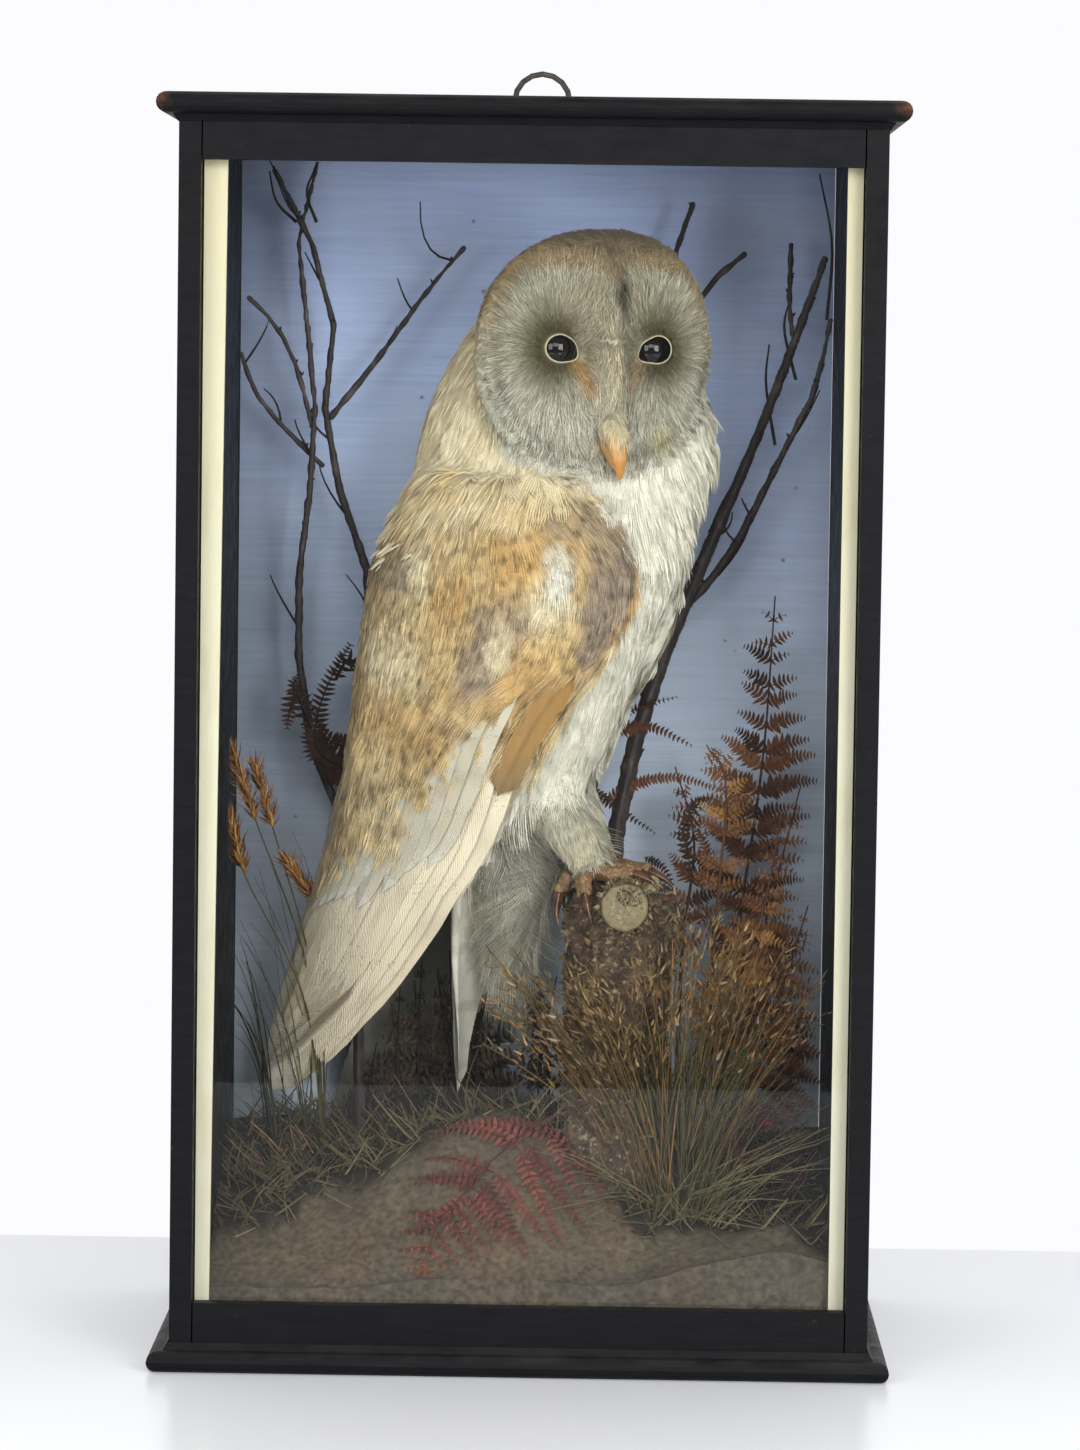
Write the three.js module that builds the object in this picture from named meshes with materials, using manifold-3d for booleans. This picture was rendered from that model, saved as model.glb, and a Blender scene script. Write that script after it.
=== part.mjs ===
// A barn owl mounted on a stump in its glazed wooden wall case, life size.
// Millimetres, +Z up, the glass facing -Y. Within the case, x is measured from the centre line,
// y back from the front face of the case and z up from the surface that it stands on.
import * as THREE from "three";
import { mergeVertices } from "three/addons/utils/BufferGeometryUtils.js";
import Module from "manifold-3d";

const wasm = await Module();
wasm.setup();

// ---- driving dimensions ----
const GAP = 0.55; // how far a solid is swollen, corners included, to clear its neighbours

const CASE_HEIGHT = 480;
const HALF_WIDTH = 131.85; // outside of the side boards
const BODY_DEPTH = 165; // front face to back face
const BOARD = 12; // side boards
const BACK_BOARD = 10;
const STILE = 8.35; // front edge of a side board, beside the glass
const REBATE = 13; // depth of the step that takes glass and slips
const EDGE_BOARD = 8; // plinth and lid
const OVERHANG = 8; // plinth and lid past the front and sides
const BACK_OVERHANG = 2;
const COVE = 2.6; // taped fillet in the corner of plinth and lid
const RAIL_DEPTH = 6;
const TOP_RAIL_BOTTOM = 455.3;
const BOTTOM_RAIL_TOP = 25.65;
const GLASS = 2;
const SLIP_DEPTH = 3;
const FLOOR_BOARD = 6;

const RING_RADIUS = 11.1; // centre line of the hanging ring
const RING_WIRE = 1.15; // radius of its wire
const RING_RISE = 19; // top of the ring above the lid
const RING_X = 0.8;
const RING_PLATE = 1.2;

const GROUND_FRONT = 22; // height of the groundwork at the glass
const GROUND_BACK = 70; // and at the backboard

const BODY_HEADING = 65; // degrees, from the viewer towards +X
const HEAD_HEADING = 20;
const HEAD_AT = [24, 63.5, 386];
const HEAD_HALF_WIDTH = 49;
const HEAD_UP = 49;
const HEAD_DOWN = 47;
const HEAD_BACK = 45;
const FACE_DEPTH = 17; // middle of the face in front of the rim of the disc
const RIDGE = 8.5; // feathered ridge between the eyes
const EYE_RADIUS = 8.2;
const EYE_OUT = 19.4; // eye centre from the midline
const EYE_FORWARD = 8.8;
const EYE_UP = 1;
const NECK_CUT = 322; // level where neck and trunk are parted
const WING_TOP = 339.5; // trimmed level of the folded wings
const TOE_RADIUS = 3.4;

// ---- solids: joining, cutting and shaping ----
const radians = THREE.MathUtils.degToRad;
const smooth = THREE.MathUtils.smoothstep;
const bell = (value, width) => Math.exp(-((value / width) ** 2));
const vector = (p) => new THREE.Vector3(...p);

function solid(geometry) {
  const bare = geometry.clone();
  bare.deleteAttribute("normal");
  bare.deleteAttribute("uv");
  const merged = mergeVertices(bare, 1e-3);
  return new wasm.Manifold(
    new wasm.Mesh({
      numProp: 3,
      vertProperties: merged.attributes.position.array,
      triVerts: new Uint32Array(merged.index.array),
    }),
  );
}

function geometryOf(made) {
  const mesh = made.getMesh();
  const geometry = new THREE.BufferGeometry();
  geometry.setAttribute("position", new THREE.BufferAttribute(mesh.vertProperties, 3));
  geometry.setIndex(new THREE.BufferAttribute(mesh.triVerts, 1));
  return geometry;
}

const join = (...made) => made.reduce((whole, next) => whole.add(next));

// What is left of a solid outside its neighbours; loose chips beyond them are dropped.
function outside(made, ...neighbours) {
  const cut = neighbours.reduce((whole, next) => whole.subtract(next), made);
  const rest = solid(geometryOf(cut));
  return rest.decompose().reduce((best, piece) => (piece.volume() > best.volume() ? piece : best));
}

// Moves every vertex of a geometry to place(x, y, z).
function moulded(geometry, place) {
  const position = geometry.attributes.position;
  for (let i = 0; i < position.count; i++)
    position.setXYZ(i, ...place(position.getX(i), position.getY(i), position.getZ(i)));
  return geometry;
}

// A solid swollen along its own normals: the room it needs within a neighbour.
function room(made, by = GAP) {
  const geometry = geometryOf(made);
  geometry.computeVertexNormals();
  const { position, normal } = geometry.attributes;
  for (let i = 0; i < position.count; i++)
    position.setXYZ(
      i,
      position.getX(i) + by * normal.getX(i),
      position.getY(i) + by * normal.getY(i),
      position.getZ(i) + by * normal.getZ(i),
    );
  return solid(geometry);
}

function box(x0, x1, y0, y1, z0, z1) {
  const geometry = new THREE.BoxGeometry(x1 - x0, y1 - y0, z1 - z0);
  return solid(geometry.translate((x0 + x1) / 2, (y0 + y1) / 2, (z0 + z1) / 2));
}

// A round limb along a smooth curve, its radius running through the ones given.
function limb(points, radii, { sides = 8, steps = 10 } = {}) {
  const curve = new THREE.CatmullRomCurve3(points.map(vector), false, "centripetal");
  const frames = curve.computeFrenetFrames(steps);
  return solid(
    moulded(new THREE.CylinderGeometry(1, 1, 1, sides, steps), (x, y, z) => {
      const t = y + 0.5;
      const i = Math.round(t * steps);
      const at = t * (radii.length - 1);
      const k = Math.min(Math.floor(at), radii.length - 2);
      const radius = THREE.MathUtils.lerp(radii[k], radii[k + 1], at - k);
      return curve
        .getPointAt(t)
        .addScaledVector(frames.normals[i], x * radius)
        .addScaledVector(frames.binormals[i], -z * radius)
        .toArray();
    }),
  );
}

// Catmull-Rom value of one field of a list of stations, at a fraction t of its length.
function fieldAt(stations, field, t) {
  const at = THREE.MathUtils.clamp(t, 0, 1) * (stations.length - 1);
  const k = Math.min(Math.floor(at), stations.length - 2);
  const value = (i) => stations[THREE.MathUtils.clamp(i, 0, stations.length - 1)][field];
  const [a, b, c, d] = [value(k - 1), value(k), value(k + 1), value(k + 2)];
  const f = at - k;
  return b + 0.5 * f * (c - a + f * (2 * a - 5 * b + 4 * c - d + f * (3 * (b - c) + d - a)));
}

// ---- the parts ----
const owlCase = new THREE.Group();
// The whole stands over its own middle, from the plinth's front edge to the back of the ring.
const BACK_EDGE = BODY_DEPTH + BACK_OVERHANG;
const RING_BACK = BACK_EDGE + RING_PLATE + 2 * RING_WIRE;
owlCase.position.y = (OVERHANG - RING_BACK) / 2;

const paint = {
  ebonised: { color: 0x15161a, roughness: 0.45, metalness: 0 },
  blue: { color: 0x8390bd, roughness: 0.8, metalness: 0 },
  glass: { color: 0xf4f8fa, roughness: 0.02, metalness: 0, transparent: true, opacity: 0.12 },
  cream: { color: 0xe6e2cf, roughness: 0.8, metalness: 0 },
  iron: { color: 0x24242a, roughness: 0.5, metalness: 0.8 },
  sand: { color: 0x6e5f52, roughness: 0.95, metalness: 0 },
  bark: { color: 0x4b3a30, roughness: 0.9, metalness: 0 },
  cutWood: { color: 0xd8c9a4, roughness: 0.8, metalness: 0 },
  white: { color: 0xeae8e2, roughness: 0.9, metalness: 0 },
  golden: { color: 0xcfa564, roughness: 0.9, metalness: 0 },
  horn: { color: 0xd49a62, roughness: 0.4, metalness: 0 },
  claw: { color: 0x54382a, roughness: 0.4, metalness: 0 },
  eye: { color: 0x08070a, roughness: 0.05, metalness: 0 },
  toe: { color: 0xb79a72, roughness: 0.7, metalness: 0 },
  rust: { color: 0x5e2f22, roughness: 0.9, metalness: 0 },
  crimson: { color: 0x7d2a2b, roughness: 0.9, metalness: 0 },
  straw: { color: 0x9a7a3e, roughness: 0.9, metalness: 0 },
};

function part(name, made, look) {
  const mesh = new THREE.Mesh(geometryOf(made), new THREE.MeshStandardMaterial(paint[look]));
  mesh.name = name;
  owlCase.add(mesh);
}

// ---- case ----
const INNER = HALF_WIDTH - BOARD; // inside faces of the side boards
const OPENING = HALF_WIDTH - STILE; // edge of the glazed opening
const BODY_TOP = CASE_HEIGHT - EDGE_BOARD;
const BACKDROP = BODY_DEPTH - BACK_BOARD; // painted face of the backboard

// A board with rounded front and side edges and a square back edge.
function edgedBoard(bottom) {
  const nose = EDGE_BOARD / 2 - 0.1;
  const half = HALF_WIDTH + OVERHANG;
  const spare = 20;
  const outline = new THREE.Shape();
  outline.moveTo(-half, -OVERHANG);
  outline.lineTo(half, -OVERHANG);
  outline.lineTo(half, BACK_EDGE + spare);
  outline.lineTo(-half, BACK_EDGE + spare);
  const board = new THREE.ExtrudeGeometry(outline, {
    depth: EDGE_BOARD - 2 * nose,
    bevelThickness: nose,
    bevelSize: nose,
    bevelOffset: -nose,
    bevelSegments: 4,
  });
  board.translate(0, 0, bottom + nose);
  const top = bottom + EDGE_BOARD + 1;
  const behind = box(-half - 1, half + 1, BACK_EDGE, BACK_EDGE + 2 * spare, bottom - 1, top);
  return solid(board).subtract(behind);
}

// The fillet in the corner between a board and the body, on the front and both sides.
function cove(boardFace, away) {
  const geometry = new THREE.BoxGeometry(1, 1, 1);
  const ring = moulded(geometry, (x, y, z) => {
    const near = z * away < 0;
    const spread = near ? COVE : 0.6;
    const front = y < 0 ? -spread : BODY_DEPTH;
    return [Math.sign(x) * (HALF_WIDTH + spread), front, boardFace + (near ? -0.5 : COVE) * away];
  });
  const body = box(-HALF_WIDTH - GAP, HALF_WIDTH + GAP, -GAP, BODY_DEPTH + 9, boardFace - 9, boardFace + 9);
  const kept = away > 0 ? [boardFace, boardFace + 9] : [boardFace - 9, boardFace];
  const slab = box(-200, 200, -99, 299, ...kept);
  return solid(ring).subtract(body.intersect(slab));
}

part("case_plinth", join(edgedBoard(0), cove(EDGE_BOARD, 1)), "ebonised");
part("case_lid", join(edgedBoard(BODY_TOP), cove(BODY_TOP, -1)), "ebonised");

const boardLow = EDGE_BOARD + GAP;
const boardHigh = BODY_TOP - GAP;
for (const [name, side] of [["case_side_left", -1], ["case_side_right", 1]]) {
  const outline = new THREE.Shape();
  outline.moveTo(side * OPENING, 0);
  outline.lineTo(side * HALF_WIDTH, 0);
  outline.lineTo(side * HALF_WIDTH, BODY_DEPTH);
  outline.lineTo(side * INNER, BODY_DEPTH);
  outline.lineTo(side * INNER, REBATE);
  outline.lineTo(side * OPENING, REBATE);
  const board = new THREE.ExtrudeGeometry(outline, { depth: boardHigh - boardLow, bevelEnabled: false });
  part(name, solid(board.translate(0, 0, boardLow)), "ebonised");
}
const clearInner = INNER - GAP;
const clearOpening = OPENING - GAP;
part("case_back", box(-clearInner, clearInner, BACKDROP, BODY_DEPTH, boardLow, boardHigh), "blue");
const rail = (low, high) => box(-clearOpening, clearOpening, 0, RAIL_DEPTH, low, high);
part("case_rail_top", rail(TOP_RAIL_BOTTOM, boardHigh), "ebonised");
part("case_rail_bottom", rail(boardLow, BOTTOM_RAIL_TOP), "ebonised");

const glassFront = RAIL_DEPTH + GAP;
const slipFront = glassFront + GLASS + GAP;
part(
  "case_glass",
  box(-clearOpening, clearOpening, glassFront, glassFront + GLASS, boardLow, boardHigh),
  "glass",
);
// The papered slips beside the glass; the left one was cut a little out of true.
function slip(side, wideTop, wideBottom) {
  const outline = new THREE.Shape();
  outline.moveTo(side * clearOpening, boardLow);
  outline.lineTo(side * (clearOpening - wideBottom), boardLow);
  outline.lineTo(side * (clearOpening - wideTop), boardHigh);
  outline.lineTo(side * clearOpening, boardHigh);
  const strip = new THREE.ExtrudeGeometry(outline, { depth: SLIP_DEPTH, bevelEnabled: false });
  return solid(strip.rotateX(Math.PI / 2).translate(0, slipFront + SLIP_DEPTH, 0));
}
part("case_slip_left", slip(-1, 8.9, 5.2), "cream");
part("case_slip_right", slip(1, 5.8, 5.6), "cream");
const boardDeep = BACKDROP - GAP;
const floorTop = boardLow + FLOOR_BOARD;
part("case_floor", box(-clearInner, clearInner, REBATE + GAP, boardDeep, boardLow, floorTop), "ebonised");

// The ring stands up behind the lid, held by a plate over its lower edge.
function hangingRing() {
  const centre = CASE_HEIGHT + RING_RISE - RING_WIRE - RING_RADIUS;
  const ring = new THREE.TorusGeometry(RING_RADIUS, RING_WIRE, 6, 16).rotateX(Math.PI / 2);
  ring.translate(RING_X, BACK_EDGE + RING_PLATE + RING_WIRE, centre);
  const foot = centre - RING_RADIUS;
  const plateBack = BACK_EDGE + RING_PLATE + RING_WIRE;
  const plate = box(RING_X - 6, RING_X + 6, BACK_EDGE + GAP, plateBack, foot - 3, foot + 3);
  return join(solid(ring), plate);
}
part("hanging_ring", hangingRing(), "iron");

// ---- groundwork: modelled mounds, lowest at the glass ----
function groundHeight(x, y) {
  const rise = GROUND_FRONT + (GROUND_BACK - GROUND_FRONT) * smooth(y, 0, 150);
  const middle = 53 * bell(x + 12, 58) * bell(y - 60, 34);
  const left = 14 * bell(x + 112, 34) * bell(y - 48, 30);
  const right = 25 * bell(x - 98, 44) * bell(y - 24, 30);
  const ripple = 1.4 * Math.sin(x / 13) * Math.cos(y / 11 + x / 29);
  return rise + middle + left + right + ripple;
}
const groundwork = solid(
  moulded(new THREE.BoxGeometry(1, 1, 1, 13, 7, 1), (x, y, z) => {
    const along = 2 * x * clearInner;
    const back = THREE.MathUtils.lerp(REBATE + GAP, boardDeep, y + 0.5);
    return [along, back, z < 0 ? floorTop + GAP : groundHeight(along, back)];
  }),
);

// ---- perch: an encrusted stump with a sawn stub towards the glass ----
const STUMP_AT = [37, 76];
const STUMP_TOP = 179;
const stumpStations = [
  { z: 62, x: 2, wide: 25, deep: 25 },
  { z: 88, x: 1, wide: 23, deep: 24 },
  { z: 118, x: -2, wide: 19.5, deep: 21 },
  { z: 148, x: 0, wide: 21.5, deep: 23 },
  { z: 170, x: 0, wide: 22, deep: 24 },
  { z: 177.5, x: 0, wide: 19.5, deep: 22 },
  { z: STUMP_TOP, x: 0, wide: 15, deep: 18 },
];
const stump = solid(
  moulded(new THREE.CylinderGeometry(1, 1, 1, 12, 8), (x, y, z) => {
    const t = y + 0.5;
    const knobs = 1 + 0.06 * Math.sin(5 * Math.atan2(x, z) + 9 * t);
    return [
      STUMP_AT[0] + fieldAt(stumpStations, "x", t) + x * knobs * fieldAt(stumpStations, "wide", t),
      STUMP_AT[1] - z * knobs * fieldAt(stumpStations, "deep", t),
      fieldAt(stumpStations, "z", t),
    ];
  }),
);
const stub = limb([
  [38, 66, 171], [38, 52, 173], [38.3, 41, 173.5],
], [11, 10, 9], { sides: 10, steps: 2 });
const knob = limb([[48, 66, 177], [48.6, 57, 181.5]], [4, 3.4], { sides: 8, steps: 1 });

// ---- owl: body ----
const forward = [Math.sin(radians(BODY_HEADING)), -Math.cos(radians(BODY_HEADING))];
const rightward = [forward[1], -forward[0]]; // towards the owl's right side, which faces the glass
// From the vent up to the nape: section centre, half length fore and aft, half width, heading.
const bodyStations = [
  { z: 143, x: -6, y: 101, long: 5, wide: 4, turn: 65 },
  { z: 160, x: -6, y: 97, long: 12, wide: 9, turn: 65 },
  { z: 183, x: -5, y: 93, long: 18, wide: 14, turn: 65 },
  { z: 206, x: -6, y: 90, long: 28, wide: 23, turn: 65 },
  { z: 230, x: -7, y: 85, long: 42, wide: 31, turn: 65 },
  { z: 254, x: -6, y: 82, long: 51, wide: 36, turn: 65 },
  { z: 278, x: -2, y: 80, long: 57, wide: 38.5, turn: 65 },
  { z: 302, x: 3, y: 79, long: 62, wide: 39, turn: 65 },
  { z: 326, x: 8, y: 83, long: 62, wide: 40, turn: 68 },
  { z: 348, x: 13, y: 88, long: 63, wide: 39, turn: 76 },
  { z: 368, x: 15, y: 90, long: 58, wide: 38, turn: 84 },
  { z: 386, x: 12, y: 91, long: 46, wide: 34, turn: 88 },
  { z: 402, x: 11, y: 90, long: 34, wide: 28, turn: 88 },
  { z: 412, x: 13, y: 88, long: 18, wide: 16, turn: 88 },
];
const body = solid(
  moulded(new THREE.CylinderGeometry(1, 1, 1, 16, 16), (x, y, z) => {
    const t = y + 0.5;
    const turn = radians(fieldAt(bodyStations, "turn", t));
    const long = fieldAt(bodyStations, "long", t) * x;
    const wide = fieldAt(bodyStations, "wide", t) * z;
    return [
      fieldAt(bodyStations, "x", t) + long * Math.sin(turn) - wide * Math.cos(turn),
      fieldAt(bodyStations, "y", t) - long * Math.cos(turn) - wide * Math.sin(turn),
      fieldAt(bodyStations, "z", t),
    ];
  }),
);

// ---- owl: wings, folded along the body and crossing over the tail ----
const WING_STEPS = 10;
const wingLead = new THREE.CatmullRomCurve3(
  [
    [14, 46, 346], [41, 34, 309], [36, 35, 276], [16, 41, 250],
    [-14, 60, 192], [-61, 99, 127], [-105, 134, 86],
  ].map(vector),
);
const wingTrail = new THREE.CatmullRomCurve3(
  [
    [-38, 103, 340], [-53, 110, 309], [-58, 112, 278], [-63, 113, 240],
    [-76, 113, 192], [-93, 122, 141], [-107, 137, 91],
  ].map(vector),
);
const wingRows = [
  { bulge: 24, thick: 4 },
  { bulge: 41, thick: 6 },
  { bulge: 42, thick: 6.5 },
  { bulge: 35, thick: 6.5 },
  { bulge: 19, thick: 5.5 },
  { bulge: 7, thick: 4.5 },
  { bulge: 1.5, thick: 2.6 },
];
const wingArch = (across) => Math.sqrt(Math.max(0, 1 - Math.abs(2 * across - 1) ** 3));
// A point of the right wing: across from leading to trailing edge, along from shoulder to tip.
function wingPoint(across, along, depth) {
  const lead = wingLead.getPoint(along);
  const chord = wingTrail.getPoint(along).sub(lead);
  const width = chord.length();
  chord.normalize();
  const out = new THREE.Vector3(-chord.y, chord.x, 0).normalize();
  if (out.y > 0) out.negate();
  const bulge = fieldAt(wingRows, "bulge", along);
  const [near, far] = [Math.max(0, across - 0.04), Math.min(1, across + 0.04)];
  const slope = ((wingArch(far) - wingArch(near)) * bulge) / ((far - near) * width);
  const normal = out.clone().addScaledVector(chord, -slope).normalize();
  const thick = fieldAt(wingRows, "thick", along) * (0.4 + 0.6 * Math.sin(Math.PI * across));
  return lead
    .addScaledVector(chord, across * width)
    .addScaledVector(out, wingArch(across) * bulge)
    .addScaledVector(normal, -depth * thick);
}
const wing = () =>
  moulded(new THREE.BoxGeometry(1, 1, 1, 8, WING_STEPS, 1), (x, y, z) =>
    wingPoint(x + 0.5, 0.5 - y, 0.5 + z).toArray(),
  );
// The left wing mirrors the right one in the owl's own midplane; its tip lies further in and lower.
const MIDLINE = [0, 78];
const LEFT_TIP = [34, 20, -10];
function mirrored(geometry) {
  moulded(geometry, (x, y, z) => {
    const off = 2 * ((x - MIDLINE[0]) * rightward[0] + (y - MIDLINE[1]) * rightward[1]);
    const fall = smooth(z, 86, 345);
    const slide = (1 - fall) ** 2.4;
    return [
      x - off * rightward[0] + slide * LEFT_TIP[0],
      y - off * rightward[1] + slide * LEFT_TIP[1],
      z + slide * LEFT_TIP[2],
    ];
  });
  const index = geometry.index.array;
  for (let i = 0; i < index.length; i += 3) [index[i + 1], index[i + 2]] = [index[i + 2], index[i + 1]];
  return geometry;
}
const wingRight = solid(wing());
const wingLeft = solid(mirrored(wing()));

// ---- owl: tail, a narrow closed fan ----
const TAIL_ROOT = [-26, 100, 196];
const TAIL_TIP = [-24, 110, 87];
const tail = solid(
  moulded(new THREE.BoxGeometry(1, 1, 1, 6, 4, 1), (x, y, z) => {
    const along = 0.5 - y;
    const half = THREE.MathUtils.lerp(12, 19, smooth(along, 0, 0.5));
    const roof = -5 * (2 * x) ** 2; // the outer feathers lie lower than the middle pair
    const step = along > 0.99 ? 5 * (2 * x) ** 2 : 0;
    const thick = z * THREE.MathUtils.lerp(8, 3, along) + roof;
    return vector(TAIL_ROOT)
      .lerp(vector(TAIL_TIP), along)
      .add(vector([rightward[0], rightward[1], 0]).multiplyScalar(2 * x * half))
      .add(vector([forward[0], forward[1], 0]).multiplyScalar(-thick))
      .add(vector([0, 0, step]))
      .toArray();
  }),
);

// ---- owl: head, in its own frame: +X its left, -Y forward, +Z up ----
const headFrame = new THREE.Matrix4()
  .makeRotationZ(radians(HEAD_HEADING))
  .setPosition(...HEAD_AT);

// How far a point of the face stands in front of the rim of the facial disc.
function faceDepth(across, up) {
  const rim = Math.hypot(across / HEAD_HALF_WIDTH, up / HEAD_UP);
  const dish = FACE_DEPTH - 10.5 * (Math.abs(across) / 46) ** 1.25 - 5 * (up / 46) ** 2;
  const ridge = RIDGE * bell(across, 7) * smooth(up, -50, -22) * (1 - 0.75 * smooth(up, 4, 28));
  const groove = -2 * bell(Math.abs(across) - 10, 4) * bell(up, 14);
  const ruff = 3 * bell(rim - 0.92, 0.07);
  return dish + ridge + groove + ruff;
}
const head = (columns, rows) =>
  solid(
    moulded(new THREE.SphereGeometry(1, columns, rows), (x, y, z) => {
      const lift = Math.sqrt(Math.max(0, 1 - y * y));
      const drawn = lift < 1e-6 ? 0 : Math.asin(THREE.MathUtils.clamp(x / lift, -1, 1));
      const narrow = drawn - 0.16 * Math.sin(2 * drawn); // closer columns near the midline
      const side = lift * Math.sin(narrow);
      const turn = Math.atan2(y, side);
      const square = (Math.abs(Math.cos(turn)) ** 2.25 + Math.abs(Math.sin(turn)) ** 2.25) ** (-1 / 2.25);
      const across = side * square * HEAD_HALF_WIDTH;
      const up = y * square * (y > 0 ? HEAD_UP : HEAD_DOWN);
      const rim = Math.min(1, Math.hypot(side, y));
      const lean = 4 * (up / HEAD_UP) ** 3;
      const back = Math.sqrt(1 - rim * rim) * HEAD_BACK;
      const front = -Math.sqrt(1 - rim ** 7) * faceDepth(across, up);
      return [across + lean, z > 0 ? front : back, up];
    }).applyMatrix4(headFrame),
  );
const eye = (side) => {
  const ball = new THREE.SphereGeometry(EYE_RADIUS, 12, 7);
  return solid(ball.translate(side * EYE_OUT, -EYE_FORWARD, EYE_UP).applyMatrix4(headFrame));
};
const inHead = (points) => points.map((p) => vector(p).applyMatrix4(headFrame).toArray());
const billUpper = limb(
  inHead([[0, -17, -27], [0, -24.5, -34], [1, -25.5, -42], [2.5, -22, -48.5]]),
  [5.2, 4.6, 3.3, 0.8],
  { sides: 8, steps: 6 },
);
const billLower = limb(
  inHead([[0, -14, -33], [0.5, -18.5, -39], [1.5, -19.5, -44.5]]),
  [4.2, 3.4, 1.2],
  { sides: 7, steps: 3 },
);

// ---- owl: legs, feet and claws ----
const legs = {
  right: { hip: [-3, 84, 234], knee: [6, 76, 214], hock: [18, 67, 199], ankle: [26, 64, 186] },
  left: { hip: [4, 98, 234], knee: [12, 98, 214], hock: [21, 94, 199], ankle: [28, 90, 186] },
};
const leg = (side) => {
  const { hip, knee, hock, ankle } = legs[side];
  return limb([hip, knee, hock, ankle], [20, 17, 12.5, 9], { sides: 9, steps: 4 });
};
// Each toe: middle joint, last joint, point of the claw.
const toes = {
  right: {
    hind: [[17, 66, 183.5], [12.5, 66, 176], [13, 62, 164]],
    outer: [[22, 57, 183], [23, 51, 176.5], [26, 48, 166]],
    middle: [[35, 60, 184], [42.5, 59, 185], [51, 57, 179]],
    inner: [[36, 68, 184.5], [45, 69.5, 184], [54, 69, 177]],
  },
  left: {
    hind: [[20, 93, 183.5], [15, 97, 177], [15, 99, 166]],
    outer: [[34, 98, 183], [41, 104, 177], [44, 107, 167]],
    middle: [[39, 89, 184], [49, 88, 183], [58, 87, 176]],
    inner: [[34, 80, 184.5], [42, 79, 184.5], [51, 78, 179]],
  },
};
const toe = (side, name) => {
  const [middle, last] = toes[side][name];
  const { ankle } = legs[side];
  const radii = [TOE_RADIUS + 0.8, TOE_RADIUS, TOE_RADIUS - 0.6];
  return limb([ankle, middle, last], radii, { sides: 4, steps: 2 });
};
const claw = (side, name) => {
  const [middle, last, point] = toes[side][name].map(vector);
  const root = last.clone().lerp(middle, 0.12);
  const bow = last.clone().lerp(point, 0.5).add(last.clone().sub(middle).setLength(1.8));
  return limb([root, bow, point].map((p) => p.toArray()), [2.3, 1.7, 0.5], { sides: 4, steps: 3 });
};

const sides = ["right", "left"];
const toeNames = ["hind", "outer", "middle", "inner"];
const legRooms = sides.map((side) => room(leg(side)));
const toeRooms = (side) => toeNames.map((name) => room(toe(side, name)));
const clawRooms = (side) => toeNames.map((name) => room(claw(side, name)));

const wings = [room(wingRight, 2 * GAP), room(wingLeft, 2 * GAP)];
const eyes = [room(eye(-1)), room(eye(1))];
const bill = [room(billUpper), room(billLower)];
const wholeHead = head(28, 15);
const headRoom = room(head(16, 10), 4 * GAP);
const above = box(-200, 200, -100, 300, NECK_CUT + GAP, 600);
const below = box(-200, 200, -100, 300, 0, NECK_CUT);
const overWings = box(-200, 200, -100, 300, WING_TOP, 600);
part("trunk", outside(body.intersect(below), ...wings), "white");
part("neck", outside(body.intersect(above), headRoom, ...wings, ...bill), "white");
part("wing_right", outside(wingRight, overWings), "golden");
part("wing_left", outside(wingLeft, overWings, wings[0]), "golden");
part("tail", outside(tail, room(body), ...wings), "white");
part("head", outside(wholeHead, ...eyes, ...bill), "white");
part("eye_right", eye(-1), "eye");
part("eye_left", eye(1), "eye");
part("bill_upper", billUpper, "horn");
part("bill_lower", outside(billLower, room(billUpper)), "horn");
part("leg_right", outside(leg("right"), room(body), ...wings), "white");
part("leg_left", outside(leg("left"), room(body), ...wings, legRooms[0]), "white");
for (const side of sides) {
  const whole = join(...toeNames.map((name) => toe(side, name)));
  const others = side === "left" ? toeRooms("right") : [];
  part("foot_" + side, outside(whole, ...legRooms, ...clawRooms(side), ...others), "toe");
  for (const name of toeNames) part("claw_" + side + "_" + name, claw(side, name), "claw");
}

const grip = [...sides.flatMap(toeRooms), ...sides.flatMap(clawRooms), ...legRooms];
part("perch_stump", outside(stump, ...grip), "bark");
part("perch_stub", outside(stub, room(stump), ...grip), "cutWood");
part("perch_knob", outside(knob, room(stump), room(stub), ...grip), "cutWood");

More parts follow.
